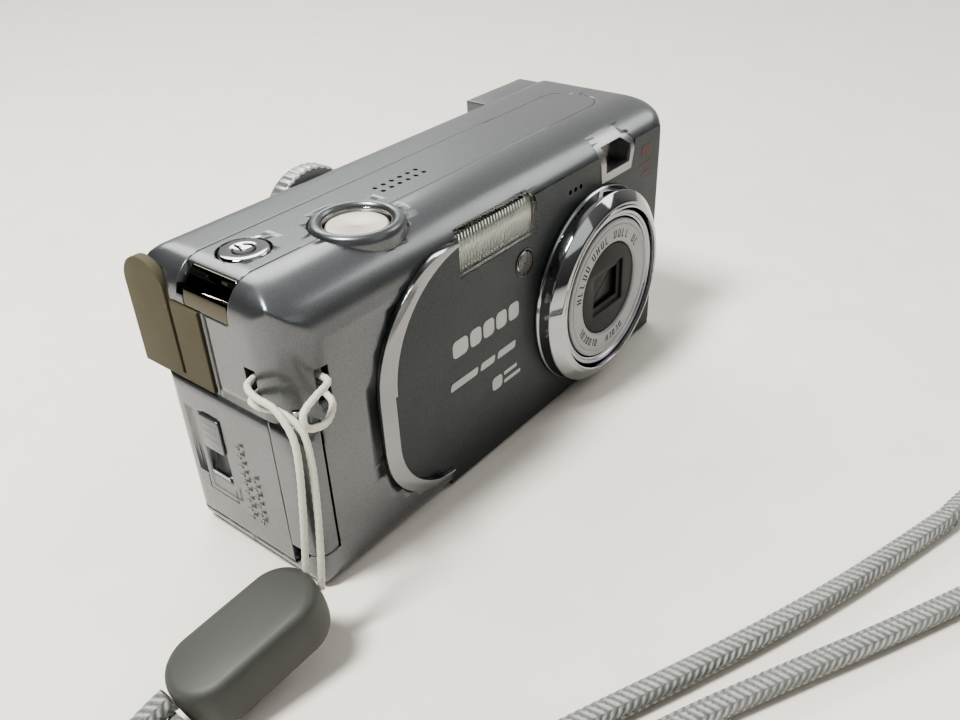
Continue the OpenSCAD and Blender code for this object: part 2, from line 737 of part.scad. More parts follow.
function unit(v) = v / norm(v);
function at(p, i) = p[max(0, min(len(p) - 1, i))];
function tangent(p, i) = unit(at(p, i + 1) - at(p, i - 1));
function ring(c, t, r, n, ref) = let (u = unit(cross(t, ref)), v = cross(t, u))
    [for (j = [0:n - 1]) c + r * (cos(360 * j / n) * u + sin(360 * j / n) * v)];
module tube(p, d, n, ref) {
    rings = len(p);
    points = [for (i = [0:rings - 1], q = ring(p[i], tangent(p, i), d / 2, n, ref)) q];
    sides = [for (i = [0:rings - 2], j = [0:n - 1])
        [i * n + j, (i + 1) * n + j, (i + 1) * n + (j + 1) % n, i * n + (j + 1) % n]];
    caps = [[for (j = [0:n - 1]) j], [for (j = [n - 1:-1:0]) (rings - 1) * n + j]];
    polyhedron(points, concat(sides, caps));
}
module strap_cord() color("#e6e3d8") tube(cord_route, cord_d, cord_sides, [1, 1, 1]);
module joiner() {
    run = joiner_b - joiner_a;
    yaw = atan2(run[1], run[0]);
    pitch = -atan2(run[2], norm([run[0], run[1]]));
    length = norm(run);
    r = joiner_w / 2;
    translate(joiner_a) rotate([0, pitch, yaw]) intersection() {
        translate([0, 0, -joiner_t / 2]) linear_extrude(joiner_t) union() {
            translate([r, 0]) circle(r);
            translate([length - r, 0]) circle(r);
            translate([r, -r]) square([length - joiner_w, joiner_w]);
        }
        along_y(-r - 1, r + 1) {
            translate([2.5, -joiner_t / 2]) square([length - 5, joiner_t]);
            translate([0, -joiner_t / 2 + 2.5]) square([length, joiner_t - 5]);
            for (x = [2.5, length - 2.5], z = [-1, 1]) translate([x, z * (joiner_t / 2 - 2.5)]) circle(2.5);
        }
    }
}
module strap_joiner() color("#5f615f") joiner();
module strap_braid_a() color("#8d8f8c") tube(braid_a_route, braid_d, braid_sides, [0, 0, 1]);
module strap_braid_b() color("#8d8f8c") tube(braid_b_route, braid_d, braid_sides, [0, 0, 1]);

// ---------- nodes ----------

front_shell();
rear_shell();
top_cover();
front_panel();
crescent_trim();
corner_trim();
lens_ring();
lens_housing();
lens_barrel_outer();
lens_barrel_inner();
name_ring();
barrier_mask();
front_lens();
barrier_blade_a();
barrier_blade_b();
image_sensor();
lens_motor();
flash_window();
flash_reflector();
flash_capacitor();
af_lamp_lens();
viewfinder_bezel();
viewfinder_tube();
eyepiece_housing();
eyepiece_lens();
lcd_window();
lcd_panel();
main_board();
battery_holder();
batteries();
battery_contacts();
card_slot();
memory_card();
tripod_socket();
strap_lug();
speaker();
jacks();
case_screws();
shutter_ring();
shutter_button();
shutter_spring();
power_button();
mode_dial();
zoom_rocker();
pad_gimbal();
control_pad();
set_button();
back_buttons_menu();
back_buttons_display();
back_buttons_print();
mode_switch();
terminal_cover();
hinge_strip();
hinge_pin();
battery_cover();
cover_latch();
strap_cord();
strap_joiner();
strap_braid_a();
strap_braid_b();
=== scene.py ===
"""Looks for a compact digital camera with a wrist strap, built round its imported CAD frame."""

import json
import math
import random

import bmesh
import bpy
import numpy as np
from mathutils import Matrix, Vector


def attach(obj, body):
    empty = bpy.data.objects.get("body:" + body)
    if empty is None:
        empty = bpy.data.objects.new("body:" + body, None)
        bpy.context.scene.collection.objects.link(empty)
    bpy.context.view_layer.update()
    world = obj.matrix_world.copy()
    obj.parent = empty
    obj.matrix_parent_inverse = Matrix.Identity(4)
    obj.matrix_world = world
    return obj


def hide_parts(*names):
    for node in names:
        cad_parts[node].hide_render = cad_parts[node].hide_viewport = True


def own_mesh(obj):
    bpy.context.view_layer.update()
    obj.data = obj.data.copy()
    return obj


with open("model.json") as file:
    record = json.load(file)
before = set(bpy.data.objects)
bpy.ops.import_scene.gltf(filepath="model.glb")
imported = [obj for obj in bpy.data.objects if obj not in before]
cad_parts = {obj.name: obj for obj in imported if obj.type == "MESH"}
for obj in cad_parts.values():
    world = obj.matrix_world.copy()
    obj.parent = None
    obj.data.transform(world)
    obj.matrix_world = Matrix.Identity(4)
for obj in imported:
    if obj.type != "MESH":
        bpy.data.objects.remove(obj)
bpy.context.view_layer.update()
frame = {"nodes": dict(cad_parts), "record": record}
MM = 0.001
RNG = random.Random(7)
SCENE = bpy.context.scene


# ---------- camera ----------

CAM_AT = (-111.28, -99.403, 106.695)     # mm, from a fit of the camera's edges to the photograph
CAM_AZ, CAM_EL, CAM_ROLL = math.radians(-50.093), math.radians(32.881), math.radians(-2.61)
CAM_LENS = 34.06                         # mm on a 36 mm wide sensor


def add_camera():
    """The photograph's viewpoint."""
    back = Vector((math.sin(CAM_AZ) * math.cos(CAM_EL),
                   -math.cos(CAM_AZ) * math.cos(CAM_EL), math.sin(CAM_EL)))
    right = Vector((0, 0, 1)).cross(back).normalized()
    up = back.cross(right)
    c, s = math.cos(CAM_ROLL), math.sin(CAM_ROLL)
    rows = Matrix((c * right + s * up, -s * right + c * up, back))
    data = bpy.data.cameras.new("camera")
    data.lens, data.sensor_width, data.sensor_fit = CAM_LENS, 36, "HORIZONTAL"
    data.clip_start, data.clip_end = 0.005, 10
    obj = bpy.data.objects.new("camera", data)
    obj.matrix_world = Matrix.Translation(Vector(CAM_AT) * MM) @ rows.transposed().to_4x4()
    SCENE.collection.objects.link(obj)
    SCENE.camera = obj


# ---------- materials ----------

def node(tree, kind, **settings):
    n = tree.nodes.new(kind)
    for k, v in settings.items():
        setattr(n, k, v)
    return n


def noise(tree, coord, scale, detail=3, rough=0.55):
    n = node(tree, "ShaderNodeTexNoise")
    n.inputs["Scale"].default_value = scale
    n.inputs["Detail"].default_value = detail
    n.inputs["Roughness"].default_value = rough
    tree.links.new(coord, n.inputs["Vector"])
    return n.outputs["Fac"]


def ramp(tree, fac, stops):
    n = node(tree, "ShaderNodeValToRGB")
    e = n.color_ramp.elements
    while len(e) < len(stops):
        e.new(0.5)
    for el, (pos, col) in zip(e, stops):
        el.position = pos
        el.color = (*col, 1)
    tree.links.new(fac, n.inputs["Fac"])
    return n.outputs["Color"]


def mix(tree, fac, a, b, mode="MIX"):
    n = node(tree, "ShaderNodeMix", data_type="RGBA", blend_type=mode)
    for sock, v in ((n.inputs[0], fac), (n.inputs[6], a), (n.inputs[7], b)):
        if isinstance(v, bpy.types.NodeSocket):
            tree.links.new(v, sock)
        else:
            sock.default_value = (*v, 1) if isinstance(v, tuple) else v
    return n.outputs[2]


def span(tree, fac, lo, hi):
    n = node(tree, "ShaderNodeMapRange")
    n.inputs["To Min"].default_value = lo
    n.inputs["To Max"].default_value = hi
    tree.links.new(fac, n.inputs["Value"])
    return n.outputs["Result"]


def bump(tree, height, strength, depth, under=None, invert=False):
    """A bump, depth mm high, on top of the normal that is already there."""
    n = node(tree, "ShaderNodeBump", invert=invert)
    n.inputs["Strength"].default_value = strength
    n.inputs["Distance"].default_value = depth * MM
    tree.links.new(height, n.inputs["Height"])
    if under is not None:
        tree.links.new(under, n.inputs["Normal"])
    return n.outputs["Normal"]


def grey(v):
    return (v, v, v)


def shade(col, k):
    return tuple(min(1.0, c * k) for c in col)


GRAIN_DEPTH, SCRATCH_DEPTH = 0.02, 0.01  # mm
SCRATCH_CELLS = 260                      # per metre
ACRYLIC_IOR = 1.49


def finish_mat(name, base, metallic=0.0, rough=0.4, flake=0.0, flake_size=0.25, blotch=0.06,
               grain=0.0, grain_size=0.3, edge=0.15, rough_var=0.08, coat=0.0, coat_rough=0.1,
               scratches=0.0, dust=0.0):
    """A surface with blotches, flakes, dust, grain, faint scratches and softly rounded edges."""
    mat = bpy.data.materials.new(name)
    mat.use_nodes = True
    t = mat.node_tree
    bsdf = t.nodes["Principled BSDF"]
    coord = node(t, "ShaderNodeTexCoord").outputs["Object"]
    wide = noise(t, coord, 60, 4)
    colour = ramp(t, wide, [(0.3, shade(base, 1 - blotch)), (0.7, shade(base, 1 + blotch))])
    if flake:
        fine = noise(t, coord, 1000 / flake_size, 1, 0.5)
        spark = ramp(t, fine, [(0.35, shade(base, 1 - flake)), (0.5, base),
                               (0.68, shade(base, 1 + flake))])
        colour = mix(t, 0.55, colour, spark)
    if dust:
        speck = noise(t, coord, 900, 5, 0.7)
        mask = ramp(t, speck, [(0.66, grey(0)), (0.78, grey(dust))])
        colour = mix(t, mask, colour, (0.62, 0.6, 0.56))
    t.links.new(colour, bsdf.inputs["Base Color"])
    bsdf.inputs["Metallic"].default_value = metallic
    smudge = noise(t, coord, 150, 5, 0.6)
    t.links.new(span(t, smudge, max(0.02, rough - rough_var), min(1, rough + rough_var)),
                bsdf.inputs["Roughness"])
    normal = None
    if edge:
        bev = node(t, "ShaderNodeBevel", samples=4)
        bev.inputs["Radius"].default_value = edge * MM
        normal = bev.outputs["Normal"]
    if grain:
        normal = bump(t, noise(t, coord, 1000 / grain_size, 2), grain, GRAIN_DEPTH, normal)
    if scratches:
        cells = node(t, "ShaderNodeTexVoronoi", feature="DISTANCE_TO_EDGE")
        cells.inputs["Scale"].default_value = SCRATCH_CELLS
        t.links.new(coord, cells.inputs["Vector"])
        line = ramp(t, cells.outputs["Distance"], [(0.0, grey(1)), (0.012, grey(0))])
        normal = bump(t, line, scratches, SCRATCH_DEPTH, normal, invert=True)
    if normal:
        t.links.new(normal, bsdf.inputs["Normal"])
    bsdf.inputs["Coat Weight"].default_value = coat
    bsdf.inputs["Coat Roughness"].default_value = coat_rough
    return mat


def clear_mat(name, tint, rough=0.03):
    mat = finish_mat(name, tint, rough=rough, blotch=0.03, rough_var=0.02, edge=0.1)
    bsdf = mat.node_tree.nodes["Principled BSDF"]
    bsdf.inputs["Transmission Weight"].default_value = 1.0
    bsdf.inputs["IOR"].default_value = ACRYLIC_IOR
    return mat


def braid_mat(name, light, groove_shade, pitch, strands):
    """Herringbone braid read from the tube's own UV: u round the tube, v along it in metres."""
    mat = bpy.data.materials.new(name)
    mat.use_nodes = True
    t = mat.node_tree
    bsdf = t.nodes["Principled BSDF"]
    uv = node(t, "ShaderNodeTexCoord").outputs["UV"]
    sep = node(t, "ShaderNodeSeparateXYZ")
    t.links.new(uv, sep.inputs[0])

    def math_node(op, a, b=None):
        n = node(t, "ShaderNodeMath", operation=op)
        for sock, v in ((n.inputs[0], a), (n.inputs[1], b)):
            if isinstance(v, bpy.types.NodeSocket):
                t.links.new(v, sock)
            elif v is not None:
                sock.default_value = v
        return n.outputs[0]

    turn = math_node("MULTIPLY", sep.outputs["X"], strands)
    half = math_node("ABSOLUTE", math_node("SUBTRACT", math_node("FRACT", turn), 0.5))
    lean = math_node("MULTIPLY", half, 2.0)
    along = math_node("DIVIDE", sep.outputs["Y"], pitch)
    phase = math_node("ADD", along, lean)
    wave = math_node("SINE", math_node("MULTIPLY", phase, 2 * math.pi))
    groove = ramp(t, half, [(0.0, grey(0.35)), (0.08, grey(1)), (0.42, grey(1)), (0.5, grey(0.35))])
    height = math_node("MULTIPLY", math_node("ADD", wave, 1.0), 0.5)
    shape = mix(t, 1.0, height, groove, "MULTIPLY")
    coord = node(t, "ShaderNodeTexCoord").outputs["Object"]
    fuzz = noise(t, coord, 5000, 3)
    # The colour darkens with the stitch height: the grooves between stitches and columns are painted
    # shade.
    colour = ramp(t, shape, [(0.1, groove_shade), (0.55, shade(light, 0.72)), (0.95, light)])
    colour = mix(t, 0.35, colour, ramp(t, fuzz, [(0.3, shade(light, 0.5)), (0.7, light)]))
    t.links.new(colour, bsdf.inputs["Base Color"])
    t.links.new(bump(t, shape, 0.9, 0.25), bsdf.inputs["Normal"])
    bsdf.inputs["Roughness"].default_value = 0.5
    bsdf.inputs["Sheen Weight"].default_value = 0.25
    return mat


SILVER = (0.156, 0.165, 0.172)
MATS = {
    "silver": dict(base=SILVER, metallic=0.7, rough=0.34, flake=0.2, flake_size=0.16, grain=0.14,
                   grain_size=0.2, coat=0.8, coat_rough=0.18, scratches=0.05, edge=0.18),
    "panel": dict(base=(0.084, 0.093, 0.096), metallic=0.7, rough=0.42, flake=0.35,
                  flake_size=0.12, grain=0.1, edge=0.08, dust=0.04),
    "chrome": dict(base=(0.42, 0.43, 0.435), metallic=1.0, rough=0.07, rough_var=0.03, blotch=0.02,
                   edge=0.14, scratches=0.03),
    "trim_chrome": dict(base=(0.3, 0.305, 0.31), metallic=1.0, rough=0.12, rough_var=0.03, edge=0.14,
                        scratches=0.03),
    "smoke_chrome": dict(base=(0.13, 0.12, 0.095), metallic=1.0, rough=0.09, rough_var=0.03, edge=0.2),
    "satin": dict(base=(0.36, 0.36, 0.365), metallic=0.8, rough=0.3, flake=0.06, grain=0.08, edge=0.12),
    "barrel": dict(base=(0.42, 0.42, 0.46), metallic=0.9, rough=0.28, rough_var=0.03, grain=0.02,
                   edge=0.12),
    "ring_print": dict(base=(0.36, 0.36, 0.37), metallic=0.3, rough=0.42, grain=0.08, edge=0.05),
    "black": dict(base=(0.018, 0.018, 0.019), rough=0.5, grain=0.35, edge=0.12, dust=0.05),
    "blade": dict(base=(0.05, 0.05, 0.048), metallic=0.5, rough=0.42, grain=0.1, edge=0.04),
    "dark_gloss": dict(base=(0.02, 0.02, 0.022), rough=0.12, edge=0.1, coat=0.4),
    "champagne": dict(base=(0.58, 0.545, 0.48), metallic=0.7, rough=0.42, flake=0.1, grain=0.15,
                      edge=0.35),
    "olive": dict(base=(0.105, 0.095, 0.058), rough=0.62, grain=0.6, grain_size=0.22, blotch=0.1,
                  dust=0.22, edge=0.3),
    "joiner": dict(base=(0.095, 0.098, 0.09), rough=0.5, grain=0.5, grain_size=0.3, dust=0.12,
                   edge=0.2),
    "steel": dict(base=(0.5, 0.5, 0.5), metallic=1.0, rough=0.32, edge=0.1, scratches=0.1),
    "board": dict(base=(0.02, 0.12, 0.045), rough=0.35, coat=0.3, edge=0.05),
    "cell": dict(base=(0.36, 0.33, 0.27), metallic=0.8, rough=0.3, edge=0.3),
    "grey_plastic": dict(base=(0.13, 0.13, 0.135), metallic=0.4, rough=0.4, flake=0.1, grain=0.15,
                         edge=0.25),
    "dial_silver": dict(base=(0.5, 0.505, 0.5), metallic=0.7, rough=0.34, grain=0.1, edge=0.2),
    "finder_dark": dict(base=(0.03, 0.032, 0.036), metallic=0.4, rough=0.1, coat=0.8, edge=0.2),
    "rib": dict(base=(0.8, 0.8, 0.72), metallic=0.5, rough=0.2, edge=0.0),
    "ink_light": dict(base=(0.45, 0.46, 0.46), metallic=0.3, rough=0.35, edge=0.0),
    "ink_dark": dict(base=(0.012, 0.012, 0.013), rough=0.6, edge=0.0),
    "ink_red": dict(base=(0.115, 0.06, 0.055), rough=0.45, edge=0.0),
    "cord": dict(base=(0.72, 0.7, 0.62), rough=0.7, grain=0.8, grain_size=0.35, blotch=0.08,
                 edge=0.0),
}
_made = {}


def mat(name):
    if name not in _made:
        if name == "clear":
            _made[name] = clear_mat("clear", (0.9, 0.93, 0.92))
        elif name == "glass_dark":
            _made[name] = clear_mat("glass_dark", (0.35, 0.38, 0.42), rough=0.02)
        elif name == "frost":
            _made[name] = clear_mat("frost", (0.93, 0.95, 0.93), rough=0.12)
        elif name == "braid":
            # The second colour is painted shade for the braid's grooves.
            _made[name] = braid_mat("braid", (0.5, 0.51, 0.49), (0.1, 0.105, 0.1), 1.25 * MM, 3)
        else:
            _made[name] = finish_mat(name, **MATS[name])
    return _made[name]


# ---------- mesh helpers (all in mm, stored in metres) ----------

def add_object(name, me):
    obj = bpy.data.objects.new(name, me)
    SCENE.collection.objects.link(obj)
    return obj


def dress(obj, material):
    """Gives the object this material and no other."""
    obj.data.materials.clear()
    obj.data.materials.append(mat(material))


def mesh_object(name, verts, faces, material, body="camera", sharp=35):
    me = bpy.data.meshes.new(name)
    me.from_pydata([tuple(c * MM for c in v) for v in verts], [], faces)
    me.update()
    obj = add_object(name, me)
    tidy(obj, sharp)
    dress(obj, material)
    if body:
        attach(obj, body)
    return obj


def tidy(obj, sharp=35, outward=True):
    """Smooth shading, with edges sharper than that many degrees kept."""
    me = obj.data
    if outward:
        bm = bmesh.new()
        bm.from_mesh(me)
        bmesh.ops.recalc_face_normals(bm, faces=bm.faces)
        bm.to_mesh(me)
        bm.free()
    me.shade_smooth()
    me.set_sharp_from_angle(angle=math.radians(sharp))


WELD = 0.001 * MM
FLAT_ANGLE = math.radians(0.4)


def node_copy(node_name, name, flat=True):
    """A welded copy of a CAD node's mesh, free to be worked on, with its flat faces joined up."""
    src = frame["nodes"][node_name]
    bm = bmesh.new()
    bm.from_mesh(src.data)
    bm.transform(src.matrix_world)
    bmesh.ops.remove_doubles(bm, verts=bm.verts, dist=WELD)
    if flat:
        bmesh.ops.dissolve_limit(bm, angle_limit=FLAT_ANGLE, verts=bm.verts, edges=bm.edges)
    me = bpy.data.meshes.new(name)
    bm.to_mesh(me)
    bm.free()
    return add_object(name, me)


BEVEL_ANGLE = math.radians(28)


def skin(node_name, material, bevel=0.0, segments=3, sharp=35):
    """A finished piece in place of a CAD node: its own shape, with its edges rounded over."""
    obj = node_copy(node_name, node_name + "_skin")
    if bevel:
        m = obj.modifiers.new("round", "BEVEL")
        m.width, m.segments, m.limit_method = bevel * MM, segments, "ANGLE"
        m.angle_limit = BEVEL_ANGLE
        m.use_clamp_overlap = True
        m.harden_normals = False
        bake(obj)
    tidy(obj, sharp)
    dress(obj, material)
    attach(obj, node_body(node_name))
    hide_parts(node_name)


def node_body(node_name):
    """The body that a CAD node moves with."""
    for body, members in frame["record"]["behaviour"]["bodies"].items():
        if node_name in members:
            return body
    return "camera"


def bake(obj):
    """Gives the object the mesh that its modifiers make."""
    dg = bpy.context.evaluated_depsgraph_get()
    me = bpy.data.meshes.new_from_object(obj.evaluated_get(dg))
    obj.modifiers.clear()
    obj.data = me


def lathe(name, profile, axis, at, material, body="camera", steps=160, sharp=35):
    """profile is a closed line of (radius, height); the axis is 'y' (height towards -Y) or 'z'."""
    verts, faces = [], []
    n = len(profile)
    for i in range(steps):
        a = 2 * math.pi * i / steps
        c, s = math.cos(a), math.sin(a)
        for r, h in profile:
            if axis == "y":
                verts.append((at[0] + r * c, -h, at[2] + r * s))
            else:
                verts.append((at[0] + r * c, at[1] + r * s, h))
    for i in range(steps):
        for j in range(n):
            a, b = i * n + j, i * n + (j + 1) % n
            c, d = ((i + 1) % steps) * n + (j + 1) % n, ((i + 1) % steps) * n + j
            faces.append((a, b, c, d))
    return mesh_object(name, verts, faces, material, body, sharp)


AXIS_R = 0.01           # a turned piece's radius at its axis


def rounded(points, r, n):
    """Rounds the corners of a closed 2-D profile by about r, in n steps each."""
    out = []
    k = len(points)
    for i, p in enumerate(points):
        a, b = Vector(points[i - 1]), Vector(points[(i + 1) % k])
        p = Vector(p)
        da, db = a - p, b - p
        cut = min(r, da.length * 0.45, db.length * 0.45)
        pa, pb = p + da.normalized() * cut, p + db.normalized() * cut
        for j in range(n + 1):
            t = j / n
            out.append(tuple((1 - t) ** 2 * pa + 2 * t * (1 - t) * p + t * t * pb))
    return out


# ---------- the smooth outside of the body ----------

HALF_X, FRONT, BACK, TOP = 51.5, -16.0, 16.0, 51.5
ROUND_BLEND = 1.6                # softness where two roundings meet, mm
FOOT = (2.5, 2.5)                # roundings, mm, along the two axes of their view
TOP_FRONT, TOP_BACK = (11, 8), (3.5, 3.5)
TOP_GRIP, TOP_END = (6, 6), (3.3, 3.3)
GRIP_BACK, END_SIDE = (3, 3), (4, 4)
GRIP_LOW, GRIP_GAIN = 2.9, 5.1   # the grip's front corner, and what it gains further up
GAIN_FROM, GAIN_OVER = 27, 6     # heights


def corner_field(u, v, lo, hi, radii):
    """2-D signed distance of a box [lo, hi] whose four corners have radii (ru, rv)."""
    mid = ((lo[0] + hi[0]) / 2, (lo[1] + hi[1]) / 2)
    out = np.full(u.shape, -1e9)
    for right in (0, 1):
        for top in (0, 1):
            ru, rv = radii[right][top]
            side = ((u >= mid[0]) == bool(right)) & ((v >= mid[1]) == bool(top))
            du = (u - (hi[0] - ru)) if right else ((lo[0] + ru) - u)
            dv = (v - (hi[1] - rv)) if top else ((lo[1] + rv) - v)
            small = np.minimum(ru, rv)
            bend = np.sqrt((np.maximum(du, 0) / ru) ** 2 + (np.maximum(dv, 0) / rv) ** 2)
            curved = (bend - 1) * small
            flat = np.maximum(du - ru, dv - rv)
            out = np.where(side, np.where((du > 0) & (dv > 0), curved, flat), out)
    return out


def body_field(p):
    """Signed distance of the body at the points, from its three views blended together."""
    x, y, z = p[:, 0], p[:, 1], p[:, 2]
    side = corner_field(y, z, (FRONT, 0), (BACK, TOP), ((FOOT, TOP_FRONT), (FOOT, TOP_BACK)))
    face = corner_field(x, z, (-HALF_X, 0), (HALF_X, TOP), ((FOOT, TOP_GRIP), (FOOT, TOP_END)))
    grow = np.clip((z - GAIN_FROM) / GAIN_OVER, 0, 1)
    grip = GRIP_LOW + GRIP_GAIN * grow * grow * (3 - 2 * grow)
    plan = corner_field(x, y, (-HALF_X, FRONT), (HALF_X, BACK),
                        (((grip, grip), GRIP_BACK), (END_SIDE, END_SIDE)))
    big = np.maximum(np.maximum(side, face), plan)
    spread = sum(np.exp(np.clip((f - big) / ROUND_BLEND, -30, 0)) for f in (side, face, plan))
    return big + ROUND_BLEND * 0.35 * np.log(spread)


EDGE_ZONE, FINE = 13, 0.55       # how far in from each side the grid is fine, and its step
COARSE = (3, 1.5, 2.5)           # its step between, along each axis
CORE_MARGIN = 12.0               # how far inside the box the rays towards the surface start
HALVINGS = 34


def axis_steps(lo, hi, coarse):
    """Grid places from lo to hi, fine near both ends."""
    a = list(np.linspace(lo, lo + EDGE_ZONE, int(EDGE_ZONE / FINE) + 1))
    count = max(2, int((hi - lo - 2 * EDGE_ZONE) / coarse) + 1)
    b = list(np.linspace(lo + EDGE_ZONE, hi - EDGE_ZONE, count))
    c = list(np.linspace(hi - EDGE_ZONE, hi, int(EDGE_ZONE / FINE) + 1))
    return np.array(a + b[1:] + c[1:])


def smooth_body(name):
    """The body's outside with no gaps: a box's grid pulled in to the surface."""
    lo, hi = np.array([-HALF_X, FRONT, 0.0]), np.array([HALF_X, BACK, TOP])
    steps = [axis_steps(lo[ax], hi[ax], COARSE[ax]) for ax in range(3)]
    verts, faces = [], []
    for ax in range(3):
        u, v = [(1, 2), (2, 0), (0, 1)][ax]
        for end in (0, 1):
            base = len(verts)
            for a in steps[u]:
                for b in steps[v]:
                    p = [0, 0, 0]
                    p[ax], p[u], p[v] = (lo[ax], hi[ax])[end], a, b
                    verts.append(p)
            m = len(steps[v])
            for i in range(len(steps[u]) - 1):
                for j in range(m - 1):
                    q = [base + i * m + j, base + (i + 1) * m + j, base + (i + 1) * m + j + 1,
                         base + i * m + j + 1]
                    faces.append(tuple(q if end else q[::-1]))
    p = np.array(verts, float)
    anchor = np.clip(p, lo + CORE_MARGIN, hi - CORE_MARGIN)
    near, far = np.zeros(len(p)), np.ones(len(p))
    for _ in range(HALVINGS):
        mid = (near + far) / 2
        inside = body_field(anchor + (p - anchor) * mid[:, None]) < 0
        near, far = np.where(inside, mid, near), np.where(inside, far, mid)
    p = anchor + (p - anchor) * near[:, None]
    me = bpy.data.meshes.new(name)
    me.from_pydata([tuple(c * MM for c in q) for q in p], [], faces)
    bm = bmesh.new()
    bm.from_mesh(me)
    bmesh.ops.remove_doubles(bm, verts=bm.verts, dist=1e-7)
    bmesh.ops.recalc_face_normals(bm, faces=bm.faces)
    bm.to_mesh(me)
    bm.free()
    return add_object(name, me)


def carve(obj, hull):
    """Keeps what lies inside the hull."""
    m = obj.modifiers.new("carve", "BOOLEAN")
    m.operation, m.object, m.solver = "INTERSECT", hull, "MANIFOLD"
    bake(obj)


def shell_piece(node_name, hull, material="silver", sharp=32):
    """The CAD piece with its outside trimmed to the smooth body."""
    obj = node_copy(node_name, node_name + "_skin", flat=False)
    before = len(obj.data.polygons)
    carve(obj, hull)
    if len(obj.data.polygons) < before // 2:
        print("carve lost", node_name, before, len(obj.data.polygons))
    tidy(obj, sharp, outward=False)
    dress(obj, material)
    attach(obj, node_body(node_name))
    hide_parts(node_name)


# ---------- pieces ----------

LENS = (25.0, 0, 21.2)                  # the lens axis
RING_IN, RING_OUT = 16.1, 19.8          # radii
OUTER_IN, OUTER_OUT = 14.3, 15.7
INNER_IN, INNER_OUT = 12.2, 14.0
OPENING, GLASS_R = 9.3, 7.4
RING_FOOT, RING_TOP = 15.3, 20.1        # places along the axis, towards -Y
BARREL_END, PLATE_FRONT = 18.6, 19.3


def make_shells():
    hull = smooth_body("hull")
    for n in ("front_shell", "rear_shell", "top_cover", "battery_cover", "hinge_strip", "strap_lug"):
        shell_piece(n, hull)
    shell_piece("flash_window", hull, "clear")
    shell_piece("viewfinder_bezel", hull, "satin", sharp=25)
    shell_piece("corner_trim", hull, "smoke_chrome", sharp=40)
    bpy.data.objects.remove(hull, do_unlink=True)


def make_lens():
    ring = rounded([(RING_IN, RING_FOOT), (RING_OUT, RING_FOOT), (19.75, 15.9), (19.45, 16.1),
                    (19.3, 18.3), (17.25, 19.8), (16.7, 19.95), (16.55, RING_TOP),
                    (RING_IN, RING_TOP)], 0.22, 3)
    obj = lathe("lens_ring_skin", ring, "y", LENS, "chrome", sharp=50, steps=220)
    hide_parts("lens_ring")
    outer = rounded([(OUTER_IN, 3), (OUTER_OUT, 3), (OUTER_OUT, 18.9), (15.5, 19.4), (14.9, 19.4),
                     (14.7, 19.0), (OUTER_IN, 19.0)], 0.15, 2)
    obj = lathe("outer_barrel_skin", outer, "y", LENS, "barrel", "lens_outer", sharp=40)
    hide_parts("lens_barrel_outer")
    inner = rounded([(INNER_IN, 4), (INNER_OUT, 4), (INNER_OUT, BARREL_END), (OPENING, BARREL_END),
                     (OPENING, 17.7), (INNER_IN, 17.7), (INNER_IN, 16.5), (7.5, 16.5), (7.5, 14),
                     (INNER_IN, 14)], 0.1, 2)
    obj = lathe("inner_barrel_skin", inner, "y", LENS, "barrel", "lens_inner", sharp=30)
    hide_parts("lens_barrel_inner")
    face = rounded([(OPENING, BARREL_END), (INNER_OUT, BARREL_END), (INNER_OUT, 19.1),
                    (13.75, PLATE_FRONT), (13.2, PLATE_FRONT), (13.1, 19.18), (12.9, 19.18),
                    (12.8, PLATE_FRONT), (9.7, 19.25), (OPENING, 18.95)], 0.06, 2)
    obj = lathe("name_ring_skin", face, "y", LENS, "ring_print", "lens_inner", sharp=30, steps=200)
    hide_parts("name_ring")
    ring_marks()
    skin("barrier_mask", "black", 0.25, 3)
    for b in ("a", "b"):
        skin("barrier_blade_" + b, "blade", 0.06, 2)
    glass = rounded([(AXIS_R, 13.5), (GLASS_R, 13.5), (GLASS_R, 15.2), (5.5, 15.9), (3, 16.35),
                     (AXIS_R, 16.5)], 0.1, 2)
    obj = lathe("front_lens_skin", glass, "y", LENS, "clear", "lens_inner", steps=96)
    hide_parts("front_lens")


STROKE = 0.26           # width
MARK_Y = 0.015 - PLATE_FRONT     # the strokes' place, a little behind the plate's rim


def ring_marks():
    """Generic printed strokes round the lens, in place of lettering."""
    verts, faces = [], []

    def stroke(angle, r0, r1, width):
        base = len(verts)
        for da, r in ((-1, r0), (1, r0), (1, r1), (-1, r1)):
            a = math.radians(angle) + da * width / 2 / r
            verts.append((LENS[0] + r * math.cos(a), MARK_Y, LENS[2] + r * math.sin(a)))
        faces.append((base, base + 1, base + 2, base + 3))

    def word(start, count, pitch, r0, r1):
        wide, thin = pitch * 0.42, 0.1
        for k in range(count):
            a = start - k * pitch
            kind = RNG.randrange(4)
            stroke(a, r0, r1, STROKE)
            if kind in (0, 2):
                stroke(a - wide, r0, r1, STROKE)
            if kind in (0, 1):
                for r in (r0 + thin, r1 - thin):
                    stroke(a - wide / 2, r - thin, r + thin, math.radians(wide) * r)
            if kind == 2:
                r = (r0 + r1) / 2
                stroke(a - wide / 2, r - thin, r + thin, math.radians(wide) * r0)
            if kind == 3:
                stroke(a - pitch * 0.2, r0, r0 + 2 * thin, math.radians(pitch * 0.4) * r0)

    for start, count in ((172, 5), (126, 4), (86, 4), (45, 2)):
        word(start, count, 8.2, 10.3, 12.0)
    for start, count in ((247, 7), (295, 5)):
        word(start, count, 6.4, 10.5, 11.9)
    mesh_object("ring_marks", verts, faces, "ink_dark", "lens_inner")


PRINT_Y = -15.33        # just in front of the front face


